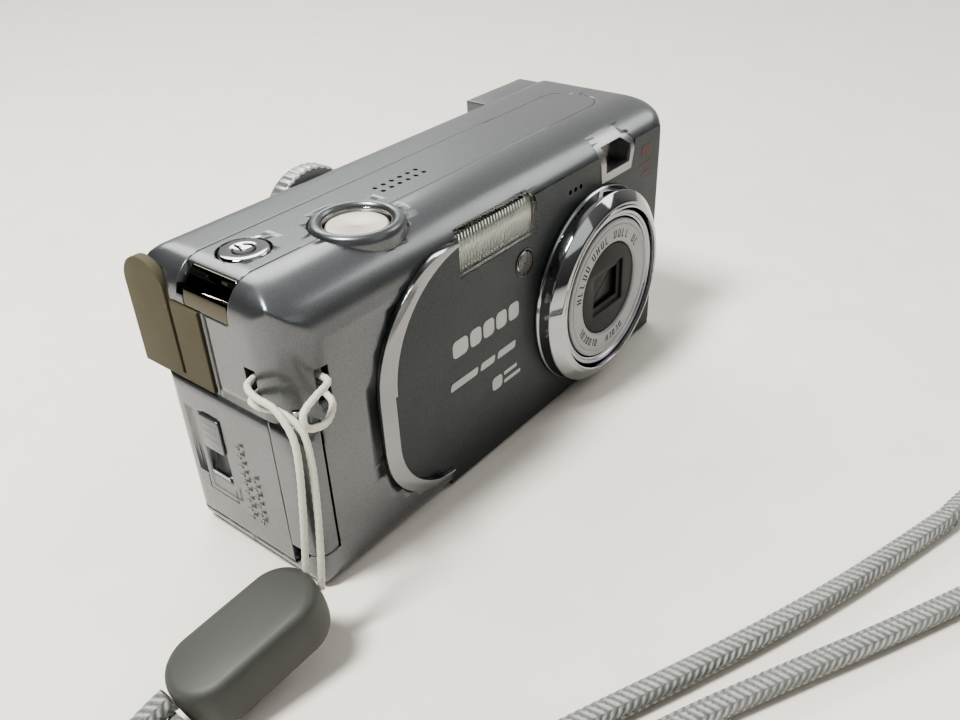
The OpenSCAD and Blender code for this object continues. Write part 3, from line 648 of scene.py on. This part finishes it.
def bar_row(name, x, z, widths, height, material, gap=0.5, lean=0.0):
    """A row of plain rounded bars on the front face, in place of printed words."""
    verts, faces = [], []
    for w in widths:
        soft = min(w, height) * 0.3
        ring = [(x + soft + soft * math.cos(a), z + soft + soft * math.sin(a))
                for a in [math.pi + math.pi / 2 * k / 4 for k in range(5)]]
        ring += [(2 * x + w - px, pz) for px, pz in reversed(ring)]
        ring += [(px, 2 * z + height - pz) for px, pz in reversed(ring)]
        base = len(verts)
        verts += [(px + lean * (pz - z), PRINT_Y, pz) for px, pz in ring]
        faces.append(tuple(range(base, base + len(ring))))
        x += w + gap
    return mesh_object(name, verts, faces, material, sharp=10)


def make_prints():
    bar_row("mark_large", -17.6, 25.4, [4.0, 3.0, 3.0, 3.0, 3.0], 3.3, "ink_light", 0.55)
    bar_row("mark_middle", -18.8, 19.5, [7.2, 4.0, 5.2], 1.5, "ink_light", 0.8, lean=0.25)
    bar_row("mark_small", -7.6, 13.4, [2.9], 2.7, "ink_light")
    bar_row("mark_tiny_top", -4.2, 15.2, [3.9], 0.8, "ink_light")
    bar_row("mark_tiny_low", -4.2, 13.5, [4.9], 0.8, "ink_light")
    bar_row("mark_end_top", 41.6, 41.8, [3.9], 2.1, "ink_red")
    bar_row("mark_end_mid", 41.0, 39.5, [5.0], 0.8, "ink_red")
    bar_row("mark_end_low", 42.0, 37.6, [3.8], 0.8, "ink_red")


LAMP = (2.6, 0, 35)


def make_front():
    skin("front_panel", "panel")
    skin("crescent_trim", "trim_chrome", 0.22, 4, sharp=50)
    lens = rounded([(AXIS_R, 13.6), (2.3, 13.6), (2.3, 15.35), (2.0, 15.5), (1.0, 15.42),
                    (AXIS_R, 15.4)], 0.12, 3)
    obj = lathe("lamp_skin", lens, "y", LAMP, "clear", steps=64)
    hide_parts("af_lamp_lens")
    bezel = rounded([(2.28, 15.0), (2.75, 15.0), (2.7, 15.45), (2.3, 15.48)], 0.1, 3)
    lathe("lamp_bezel", bezel, "y", LAMP, "dark_gloss", steps=64)
    finder_glass()
    flash_details()


def prism(near, far):
    """Vertices and faces of a solid between two outlines that have as many points each."""
    n = len(near)
    faces = [tuple(range(n)), tuple(range(2 * n - 1, n - 1, -1))]
    faces += [(i, (i + 1) % n, n + (i + 1) % n, n + i) for i in range(n)]
    return near + far, faces


PANE_THICK = 0.9


def finder_glass():
    """Window inside the viewfinder frame, with a darker block behind it."""
    outline = [(28.0, 47.9), (28.4, 42.5), (37.0, 42.4), (37.6, 46.0), (35.1, 47.9)]
    for name, y, material in (("finder_pane", -12.9, "clear"), ("finder_block", -10.2, "finder_dark")):
        verts, faces = prism([(x, y, z) for x, z in outline],
                             [(x, y + PANE_THICK, z) for x, z in outline])
        mesh_object(name, verts, faces, material, sharp=20)


def flash_details():
    """Vertical ribs behind the flash window, and the reflector behind them."""
    verts, faces = [], []
    x0, x1, z0, z1 = -14.0, 5.6, 39.9, 46.0
    crest, valley = -13.5, -13.1
    ribs = 26
    step = (x1 - x0) / ribs
    for k in range(ribs + 1):
        for dx, y in ((0, crest), (step / 2, valley)):
            if k == ribs and dx:
                continue
            for z in (z0, z1):
                verts.append((x0 + k * step + dx, y, z))
    cols = len(verts) // 2
    for c in range(cols - 1):
        faces.append((2 * c, 2 * c + 2, 2 * c + 3, 2 * c + 1))
    obj = mesh_object("flash_ribs", verts, faces, "rib", sharp=20)
    solid = obj.modifiers.new("thick", "SOLIDIFY")
    solid.thickness = 0.25 * MM
    skin("flash_reflector", "chrome", 0.2, 2)


SHUTTER, POWER = (-26.1, -5.4, 0), (-42.1, 1.2, 0)
SHUTTER_R, POWER_R, RIM_R = 5.0, 3.8, 5.42     # the two caps, and the bore round the first
CAP_FOOT = 49.2
COIL_FOOT, COIL_TOP = 47.3, 48.9


def make_top():
    ring = rounded([(5.4, CAP_FOOT), (7.5, 46), (7.5, 50.6), (7.1, 51.5), (6.5, 51.8), (5.9, 51.75),
                    (RIM_R, 51.2)], 0.3, 4)
    ring[0] = (RIM_R, CAP_FOOT)
    obj = lathe("shutter_ring_skin", ring, "z", SHUTTER, "silver", steps=128, sharp=60)
    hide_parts("shutter_ring")
    liner = rounded([(5.12, 48.0), (RIM_R, 48.0), (RIM_R, 51.1), (5.2, 51.15)], 0.08, 2)
    lathe("shutter_liner", liner, "z", SHUTTER, "chrome", steps=96, sharp=40)
    cap = rounded([(AXIS_R, CAP_FOOT), (4.95, CAP_FOOT), (SHUTTER_R, 50.2), (4.75, 50.75),
                   (3.5, 50.72), (AXIS_R, 50.5)], 0.3, 4)
    obj = lathe("shutter_cap", cap, "z", SHUTTER, "champagne", "shutter_button", steps=96, sharp=60)
    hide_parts("shutter_button")
    coil = helix("shutter_coil", SHUTTER, 2.9, 0.15, COIL_FOOT, COIL_TOP, 4, "steel")
    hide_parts("shutter_spring")
    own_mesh(coil)
    cap = rounded([(AXIS_R, CAP_FOOT), (3.75, CAP_FOOT), (POWER_R, 50.9), (3.55, 51.25), (2.5, 51.3),
                   (AXIS_R, 51.1)], 0.3, 4)
    obj = lathe("power_cap", cap, "z", POWER, "chrome", "power_button", steps=96, sharp=60)
    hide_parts("power_button")
    power_mark(POWER)


def helix(name, at, radius, wire, z0, z1, turns, material):
    """A coil from z0 to z1; wire is the wire's radius."""
    verts, faces = [], []
    count, sides = turns * 40, 8
    for i in range(count + 1):
        a = 2 * math.pi * turns * i / count
        z = z0 + (z1 - z0) * i / count
        for j in range(sides):
            b = 2 * math.pi * j / sides
            r = radius + wire * math.cos(b)
            verts.append((at[0] + r * math.cos(a), at[1] + r * math.sin(a), z + wire * math.sin(b)))
    for i in range(count):
        for j in range(sides):
            k = (j + 1) % sides
            faces.append((i * sides + j, (i + 1) * sides + j, (i + 1) * sides + k, i * sides + k))
    faces.append(tuple(range(sides)))
    faces.append(tuple(count * sides + j for j in reversed(range(sides))))
    return mesh_object(name, verts, faces, material)


def power_mark(at):
    """A generic on/off mark: an open ring and a stroke."""
    verts, faces = [], []
    top, steps = 51.33, 36
    ring_in, ring_out, half_line = 1.45, 1.75, 0.15
    start, sweep = 125, 290          # degrees
    for i in range(steps + 1):
        a = math.radians(start + sweep * i / steps)
        for r in (ring_in, ring_out):
            verts.append((at[0] + r * math.cos(a), at[1] + r * math.sin(a), top))
    for i in range(steps):
        faces.append((2 * i, 2 * i + 1, 2 * i + 3, 2 * i + 2))
    base = len(verts)
    for x, y in ((-half_line, 0.5), (half_line, 0.5), (half_line, 2.1), (-half_line, 2.1)):
        verts.append((at[0] + x, at[1] + y, top))
    faces.append((base, base + 1, base + 2, base + 3))
    mesh_object("power_mark", verts, faces, "ink_dark", "power_button", sharp=10)


def make_end():
    """The grip's end: the terminal cover, the latch and the battery cover's pin."""
    skin("terminal_cover", "olive", 0.6, 5, sharp=60)
    latch_pieces()
    skin("hinge_pin", "steel", 0.1)


END = -HALF_X           # the grip end's face
PLATE_SHARP = 40


def plate(name, outline, x0, x1, material, body, bevel):
    """A flat plate on the grip end: outline is (y, z), between x0 and x1."""
    verts, faces = prism([(x0, y, z) for y, z in outline], [(x1, y, z) for y, z in outline])
    obj = mesh_object(name, verts, faces, material, None, PLATE_SHARP)
    m = obj.modifiers.new("round", "BEVEL")
    m.width, m.segments, m.limit_method = bevel * MM, 3, "ANGLE"
    bake(obj)
    tidy(obj, PLATE_SHARP)
    dress(obj, material)
    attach(obj, body)
    return obj


def box_outline(y, z, wide, tall):
    return [(y, z), (y + wide, z), (y + wide, z + tall), (y, z + tall)]


def latch_pieces():
    y0, y1 = 3.4, 8.4
    obj = plate("latch_slider", rounded([(y0, 18.5), (y1, 18.5), (y1, 25), (y0, 25)], 0.7, 4),
                END + 0.02, END + 0.7, "silver", "cover_latch", 0.2)
    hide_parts("cover_latch")
    rib_inset, rib_pitch, rib_tall = 0.7, 1.4, 0.6
    for k in range(3):
        z = 20.2 + rib_pitch * k
        plate("latch_rib_%d" % k, box_outline(y0 + rib_inset, z, y1 - y0 - 2 * rib_inset, rib_tall),
              END, END + 0.2, "silver", "cover_latch", 0.12)
    stop = [(y0 + 0.2, 13.1), (y1 - 0.2, 13.1), (y1 - 0.4, 13.9), (y0 + 0.4, 13.9)]
    plate("latch_stop", rounded(stop, 0.2, 3), END + 0.2, END + 0.75, "chrome", "battery_cover", 0.1)
    door_bracket((2.3, 9.5), (9.4, 12.2))
    door_marks()


def door_marks():
    """Two rows of raised strokes on the battery cover, in place of moulded lettering."""
    pitch, bar, stroke, line = 1.75, 1.1, 0.3, 0.35
    for row, (y, count) in enumerate(((-1.2, 9), (-3.6, 6))):
        for k in range(count):
            z = 8.0 + pitch * k
            tall = (0.9, 1.2, 0.75)[(k + row) % 3]
            for kind, outline in (("mark", box_outline(y, z, bar, line)),
                                  ("stroke", box_outline(y, z, stroke, tall))):
                plate("door_%s_%d_%d" % (kind, row, k), outline, END, END + 0.08, "silver",
                      "battery_cover", 0.05)


def door_bracket(ys, zs):
    """Thin engraved-looking bracket under the latch: two sides and a foot."""
    w = 0.22
    wide, tall = ys[1] - ys[0], zs[1] - zs[0]
    sides = ((ys[0], w, tall), (ys[1] - w, w, tall), (ys[0], wide, w))
    for k, (y, run, rise) in enumerate(sides):
        plate("door_bracket_%d" % k, box_outline(y, zs[0], run, rise), END, END + 0.04,
              "grey_plastic", "battery_cover", 0.02)


# ---------- strap ----------

SPLINE_STEPS = 16


def spline_points(points, step):
    """Catmull-Rom through the points, then evenly spaced."""
    p = [Vector(q) for q in points]
    dense = []
    for i in range(len(p) - 1):
        a, b, c, d = p[max(0, i - 1)], p[i], p[i + 1], p[min(len(p) - 1, i + 2)]
        for k in range(SPLINE_STEPS):
            t = k / SPLINE_STEPS
            dense.append(0.5 * (2 * b + (c - a) * t + (2 * a - 5 * b + 4 * c - d) * t * t
                                + (3 * b - a - 3 * c + d) * t ** 3))
    dense.append(p[-1])
    out, need = [dense[0]], step
    for a, b in zip(dense, dense[1:]):
        seg = (b - a).length
        while seg >= need and seg > 1e-9:
            a = a + (b - a) * (need / seg)
            out.append(a.copy())
            seg -= need
            need = step
        need -= seg
    out.append(dense[-1])
    return out


def tube(name, points, diameter, material, sides, step, relief):
    """A swept tube with UVs: u round it, v along it in metres. relief(turn, along) is its radius."""
    path = spline_points(points, step)
    verts, faces, uv_of = [], [], []
    total = 0.0
    side = None
    marks = []
    for i, c in enumerate(path):
        t = (path[min(i + 1, len(path) - 1)] - path[max(i - 1, 0)]).normalized()
        if i:
            total += (path[i] - path[i - 1]).length
        if side is None:
            side = t.cross(Vector((0, 0, 1)))
            if side.length < 0.1:
                side = t.cross(Vector((1, 0, 0)))
        side = (side - t * side.dot(t)).normalized()
        up = side.cross(t)
        marks.append(total)
        for j in range(sides):
            a = 2 * math.pi * j / sides
            r = diameter / 2 * relief(j / sides, total)
            verts.append(tuple(c + side * (r * math.cos(a)) + up * (r * math.sin(a))))
    uvs = []
    for i in range(len(path) - 1):
        for j in range(sides):
            k = (j + 1) % sides
            faces.append((i * sides + j, i * sides + k, (i + 1) * sides + k, (i + 1) * sides + j))
            u0, u1 = j / sides, (j + 1) / sides
            v0, v1 = marks[i] * MM, marks[i + 1] * MM
            uvs += [(u0, v0), (u1, v0), (u1, v1), (u0, v1)]
    faces.append(tuple(range(sides)))
    uvs += [(0, 0)] * sides
    faces.append(tuple((len(path) - 1) * sides + j for j in reversed(range(sides))))
    uvs += [(0, 0)] * sides
    me = bpy.data.meshes.new(name)
    me.from_pydata([tuple(c * MM for c in v) for v in verts], [], faces)
    layer = me.uv_layers.new(name="UVMap")
    for k, uv in enumerate(uvs):
        layer.data[k].uv = uv
    me.shade_smooth()
    obj = add_object(name, me)
    dress(obj, material)
    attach(obj, "camera")
    return obj, [tuple(q * MM) for q in path], total * MM


GROUND = 2.0            # height of a braid's middle when it lies on the table
CORD_ROUTE = [
    [-56.6, -22.4, 10.2], [-55.4, -21.9, 15], [-53.8, -20.9, 22], [-52.4, -19.6, 29],
    [-51.8, -17.9, 33.5], [-52.2, -14.5, 35.2], [-52.9, -11, 35], [-52.3, -8.4, 34.8],
    [-49.6, -7.6, 34.8], [-46.2, -7.4, 34.8], [-44.8, -8.8, 34.8], [-45, -12.5, 34.8],
    [-45, -15.6, 34.7], [-46, -18, 34.3], [-49.4, -20.2, 34.2], [-52.8, -20.6, 35.6],
    [-52.6, -20, 37.6], [-49.4, -19, 38.1], [-46, -17.6, 37.8], [-45, -15.6, 37.5],
    [-45, -12.5, 37.4], [-44.8, -8.8, 37.4], [-46.2, -7.4, 37.4], [-49.6, -7.6, 37.4],
    [-52.4, -8.4, 37.4], [-53.6, -11.4, 37.3], [-53.4, -15, 36.6], [-53.6, -18.1, 33.5],
    [-54.4, -19.4, 29], [-55.8, -20.2, 22], [-57.2, -20.7, 15], [-58, -20.9, 10.4]
]
BRAID_A = [
    [-79.6, -19.6, 3.6], [-85, -19.6, 2.2], [-91, -22, GROUND], [-95.5, -26.5, GROUND],
    [-96.5, -33, GROUND], [-92.5, -39.5, GROUND], [-84, -44.8, GROUND],
    [-72, -50.2, GROUND], [-60, -55.4, GROUND], [-46.7, -61.3, GROUND],
    [-33, -67.6, GROUND], [-20, -73.3, GROUND], [-7, -78.4, GROUND],
    [6, -82.9, GROUND], [19.5, -87.2, GROUND]
]
BRAID_B = [
    [-79.6, -17.2, 6.2], [-85, -16.6, 4.3], [-92, -17.8, 2.6], [-99, -22.5, GROUND],
    [-103, -30, GROUND], [-102, -39, GROUND], [-96, -46.5, GROUND],
    [-86, -51.8, GROUND], [-74, -56.6, GROUND], [-62, -61.4, GROUND],
    [-50, -66.6, GROUND], [-38.9, -71.7, GROUND], [-25, -79, GROUND],
    [-11, -86.6, GROUND], [2.8, -93.7, GROUND], [13, -98.6, GROUND],
    [23, -102.2, GROUND], [31, -101.8, GROUND], [35.6, -96.2, GROUND],
    [31.4, -90.2, GROUND], [19.5, -87.2, GROUND]
]
JOINER_A, JOINER_B = (-57, -21.6, 10.1), (-79, -18.4, 5.1)
CORD_D, BRAID_D = 1.1, 3.6


def make_strap():
    joiner = joiner_piece()
    thin, path, length = tube("strap_cord_skin", CORD_ROUTE, CORD_D, "cord", 20, 0.2, laid_cord)
    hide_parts("strap_cord")
    for name, route in (("a", BRAID_A), ("b", BRAID_B)):
        obj, path, length = tube("strap_braid_%s_skin" % name, route, BRAID_D, "braid", 48, 0.25,
                                 braid_relief)
        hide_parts("strap_braid_" + name)


LAID_STRANDS, LAID_PITCH = 3, 1.3


def laid_cord(turn, along):
    """Three strands twisted round each other."""
    return 0.95 + 0.05 * math.cos(2 * math.pi * (LAID_STRANDS * turn + along / LAID_PITCH))


BRAID_STRANDS, BRAID_PITCH = 4, 1.3


def braid_relief(turn, along):
    """Plump herringbone stitches with a valley between the columns."""
    u = turn * BRAID_STRANDS
    lean = abs(u % 1.0 - 0.5) * 2
    stitch = math.cos(2 * math.pi * (along / BRAID_PITCH + lean * 0.9))
    valley = math.cos(math.pi * (u % 1.0 - 0.5)) ** 0.35
    return 0.87 + 0.09 * valley + 0.04 * stitch


def joiner_piece():
    """Moulded joiner: a thick rounded tablet with a soft top edge."""
    a, b = Vector(JOINER_A), Vector(JOINER_B)
    run = b - a
    length, half_w, half_t = run.length, 5.5, 4.3
    right = run.normalized()
    wide = Vector((0, 0, 1)).cross(right).normalized()
    tall = right.cross(wide)
    verts, faces = [], []
    around, levels = 72, 18
    edge, crown = 1.3, 0.03
    core = length / 2 - half_w
    for i in range(levels + 1):
        h = -1 + 2 * i / levels
        t = math.copysign(abs(h) ** 0.6, h)
        shrink = edge * (1 - math.sqrt(max(0.0, 1 - abs(t) ** 9)))
        for j in range(around):
            ang = 2 * math.pi * j / around
            c, s = math.cos(ang), math.sin(ang)
            w = half_w - shrink
            x = math.copysign(core, c) + w * c if abs(c) > 1e-6 else 0
            bulge = 1 + crown * (1 - t * t)
            q = a + right * (length / 2 + x * bulge if abs(x) > core else length / 2 + x) \
                + wide * (w * s * bulge) + tall * (half_t * t)
            verts.append(tuple(q))
    for i in range(levels):
        for j in range(around):
            k = (j + 1) % around
            faces.append((i * around + j, i * around + k, (i + 1) * around + k, (i + 1) * around + j))
    faces.append(tuple(reversed(range(around))))
    faces.append(tuple(levels * around + j for j in range(around)))
    obj = mesh_object("joiner_skin", verts, faces, "joiner", sharp=50)
    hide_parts("strap_joiner")
    return obj


# ---------- back ----------

def make_back():
    dial_piece()
    skin("zoom_rocker", "satin", 0.5, 4)
    skin("control_pad", "satin", 0.35, 4)
    skin("set_button", "satin", 0.3, 4)
    skin("pad_gimbal", "black", 0.1)
    for key in ("menu", "display", "print"):
        skin("back_buttons_" + key, "satin", 0.4, 4)
    skin("mode_switch", "black", 0.3, 3)
    skin("eyepiece_housing", "silver", 1.6, 6, sharp=60)
    skin("eyepiece_lens", "glass_dark", 0.2)
    skin("lcd_window", "dark_gloss", 0.15, 2)
    lcd_details()
    back_marks()
    inner = {"lens_housing": "black", "image_sensor": "board", "lens_motor": "steel",
             "flash_capacitor": "dark_gloss", "viewfinder_tube": "black", "lcd_panel": "dark_gloss",
             "main_board": "board", "battery_holder": "black", "batteries": "cell",
             "battery_contacts": "steel", "card_slot": "steel", "memory_card": "dark_gloss",
             "tripod_socket": "steel", "speaker": "black", "jacks": "black", "case_screws": "steel"}
    for name, material in inner.items():
        skin(name, material, 0.12, 2)


DIAL, DIAL_R = (-15.5, 0, 42.5), 9.0
PAD = (-27, 24)         # x, z
BACK_PRINT = 16.02      # just behind the back face


def dial_piece():
    """Mode dial with a fluted rim, a chamfered face and generic position marks."""
    steps, teeth, top, base, flute_deep = 240, 40, 20.05, 16.35, 0.22
    at = DIAL
    rows = [(base, -0.25), (base + 0.3, 0.0), (top - 0.9, 0.0), (top - 0.25, -0.45), (top, -0.9)]
    verts, faces = [], []
    for y, dr in rows:
        for i in range(steps):
            a = 2 * math.pi * i / steps
            flute = flute_deep * (0.5 + 0.5 * math.cos(a * teeth)) if y < top - 0.3 else 0
            r = DIAL_R + dr - flute
            verts.append((at[0] + r * math.cos(a), y, at[2] + r * math.sin(a)))
    for k in range(len(rows) - 1):
        for i in range(steps):
            j = (i + 1) % steps
            faces.append((k * steps + i, k * steps + j, (k + 1) * steps + j, (k + 1) * steps + i))
    faces.append(tuple(range(steps)))
    last = (len(rows) - 1) * steps
    faces.append(tuple(last + i for i in reversed(range(steps))))
    obj = mesh_object("mode_dial_skin", verts, faces, "dial_silver", "mode_dial", sharp=30)
    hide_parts("mode_dial")
    dial_marks(top + 0.04)


def dial_marks(y):
    """Nine plain marks round the dial's face."""
    at = DIAL
    verts, faces = [], []
    inner_r, half_line, count = 5.6, 0.3, 9
    for k in range(count):
        a = math.radians(360 / count * k + 10)
        for dr, half in ((0, 0.75), (1.1, 0.45)):
            base = len(verts)
            r = inner_r + dr
            for dx, dz in ((-half, -half_line), (half, -half_line), (half, half_line),
                           (-half, half_line)):
                x = r * math.cos(a) + dx * -math.sin(a) + dz * math.cos(a)
                z = r * math.sin(a) + dx * math.cos(a) + dz * math.sin(a)
                verts.append((at[0] + x, y, at[2] + z))
            faces.append((base, base + 1, base + 2, base + 3))
    mesh_object("dial_marks", verts, faces, "ink_dark", "mode_dial", sharp=10)


def quad(name, x0, x1, z0, z1, y, material, body="camera"):
    """A flat rectangle that faces the back."""
    verts = [(x0, y, z0), (x1, y, z0), (x1, y, z1), (x0, y, z1)]
    return mesh_object(name, verts, [(0, 1, 2, 3)], material, body, sharp=10)


def lcd_details():
    x0, x1, z0, z1, rim = 5.0, 40.0, 12.0, 37.8, 0.8
    quad("lcd_mask", x0 - rim, x1 + rim, z0 - rim, z1 + rim, 16.12, "black")
    quad("lcd_screen", x0, x1, z0, z1, 16.14, "dark_gloss")


def back_marks():
    """Generic strokes beside the keys, the dial pointer and the status lamps."""
    for k, (x, z) in enumerate(((-40.5, 13.6), (-13.5, 13.6), (-12.5, 34.8), (-27, 34.0))):
        quad("key_mark_%d" % k, x - 1.6, x + 1.6, z, z + 0.5, BACK_PRINT, "ink_dark")
        quad("key_line_%d" % k, x - 0.9, x + 0.9, z + 0.8, z + 1.0, BACK_PRINT, "ink_dark")
    quad("dial_pointer", -4.6, -3.2, 42.3, 42.7, BACK_PRINT, "ink_dark")
    lamp_x = 27.2
    for k, z in enumerate((44.6, 47.2)):
        dome = [(AXIS_R, -BACK), (0.8, -BACK), (0.7, -16.35), (0.35, -16.5), (AXIS_R, -16.52)]
        lathe("status_lamp_%d" % k, dome, "y", (lamp_x, 0, z), "frost", steps=32)
    pad_front, mark_r, thin, long = 17.83, 6.1, 0.25, 0.8
    for k in range(4):
        a = math.radians(90 * k)
        x, z = PAD[0] + mark_r * math.cos(a), PAD[1] + mark_r * math.sin(a)
        w, h = (thin, long) if k % 2 == 0 else (long, thin)
        quad("pad_mark_%d" % k, x - w, x + w, z - h, z + h, pad_front, "ink_dark", "control_pad")


# ---------- surroundings ----------

def floor_mat():
    return finish_mat("table_top", (0.9, 0.858, 0.795), rough=0.55, blotch=0.02, grain=0.1,
                      grain_size=0.8, edge=0.0, rough_var=0.05)


TABLE_GAP = 0.0001      # m, under the camera's base


def make_stage():
    me = bpy.data.meshes.new("table")
    verts, faces = [], []
    n, size = 24, 1.6            # cells along each side, and half the side in metres
    row = n + 1
    for i in range(row):
        for j in range(row):
            verts.append((-size + 2 * size * i / n, -size + 2 * size * j / n, 0.0))
    for i in range(n):
        for j in range(n):
            a = i * row + j
            faces.append((a, a + row, a + row + 1, a + 1))
    me.from_pydata(verts, [], faces)
    obj = add_object("table", me)
    obj.location.z = -TABLE_GAP
    me.materials.append(floor_mat())


AIM = Vector((0, 0, 0.02))


def area(name, at, size, power, colour):
    """An area light aimed at the camera; places and sizes in metres."""
    data = bpy.data.lights.new(name, "AREA")
    data.shape, data.size, data.size_y = "RECTANGLE", size[0], size[1]
    data.energy, data.color = power, colour
    obj = add_object(name, data)
    obj.location = at
    obj.rotation_mode = "QUATERNION"
    obj.rotation_quaternion = (AIM - Vector(at)).to_track_quat("-Z", "Y")


DARK_SIDE = Vector((-0.62, 0.45, 0.6)).normalized()      # dim side of the room
BRIGHT_SIDE = Vector((0.8, 0.42, 0.36)).normalized()     # pale wall on the far right
WARM, COOL, PALE = (1.0, 0.99, 0.97), (0.97, 0.98, 1.0), (1.0, 0.985, 0.96)
WORLD_STRENGTH = 0.55


def towards(tree, coord, side):
    """1 where the room is seen straight towards side, 0 from square to it on."""
    n = node(tree, "ShaderNodeVectorMath", operation="DOT_PRODUCT")
    tree.links.new(coord, n.inputs[0])
    n.inputs[1].default_value = side
    return span(tree, n.outputs["Value"], 0, 1)


def make_light():
    area("key", (-0.30, 0.10, 0.66), (0.13, 0.2), 5.3, WARM)
    area("fill", (0.1, -0.75, 0.45), (0.5, 0.3), 0.3, COOL)
    area("side", (-0.75, -0.1, 0.22), (0.3, 0.2), 0.1, WARM)
    area("rim", (0.3, 0.6, 0.6), (0.6, 0.3), 2.2, WARM)
    area("right", (0.7, -0.35, 0.56), (0.45, 0.45), 1.6, PALE)
    world = bpy.data.worlds.new("room")
    SCENE.world = world
    world.use_nodes = True
    t = world.node_tree
    bg = t.nodes["Background"]
    coord = node(t, "ShaderNodeTexCoord").outputs["Generated"]
    sep = node(t, "ShaderNodeSeparateXYZ")
    t.links.new(coord, sep.inputs[0])
    sky = ramp(t, span(t, sep.outputs["Z"], 0.35, 1.0),
               [(0.3, (0.13, 0.127, 0.122)), (0.55, (0.28, 0.278, 0.27)), (1.0, (0.8, 0.79, 0.77))])
    patch = ramp(t, towards(t, coord, DARK_SIDE), [(0.6, grey(1)), (0.82, grey(0.06))])
    glow = ramp(t, towards(t, coord, BRIGHT_SIDE), [(0.6, grey(0)), (0.95, grey(1))])
    lit = mix(t, glow, mix(t, 1.0, sky, patch, "MULTIPLY"), PALE)
    t.links.new(lit, bg.inputs["Color"])
    bg.inputs["Strength"].default_value = WORLD_STRENGTH
    SCENE.view_settings.look = "AgX - High Contrast"


add_camera()
make_shells()
make_lens()
make_front()
make_prints()
make_strap()
make_top()
make_end()
make_back()
make_stage()
make_light()
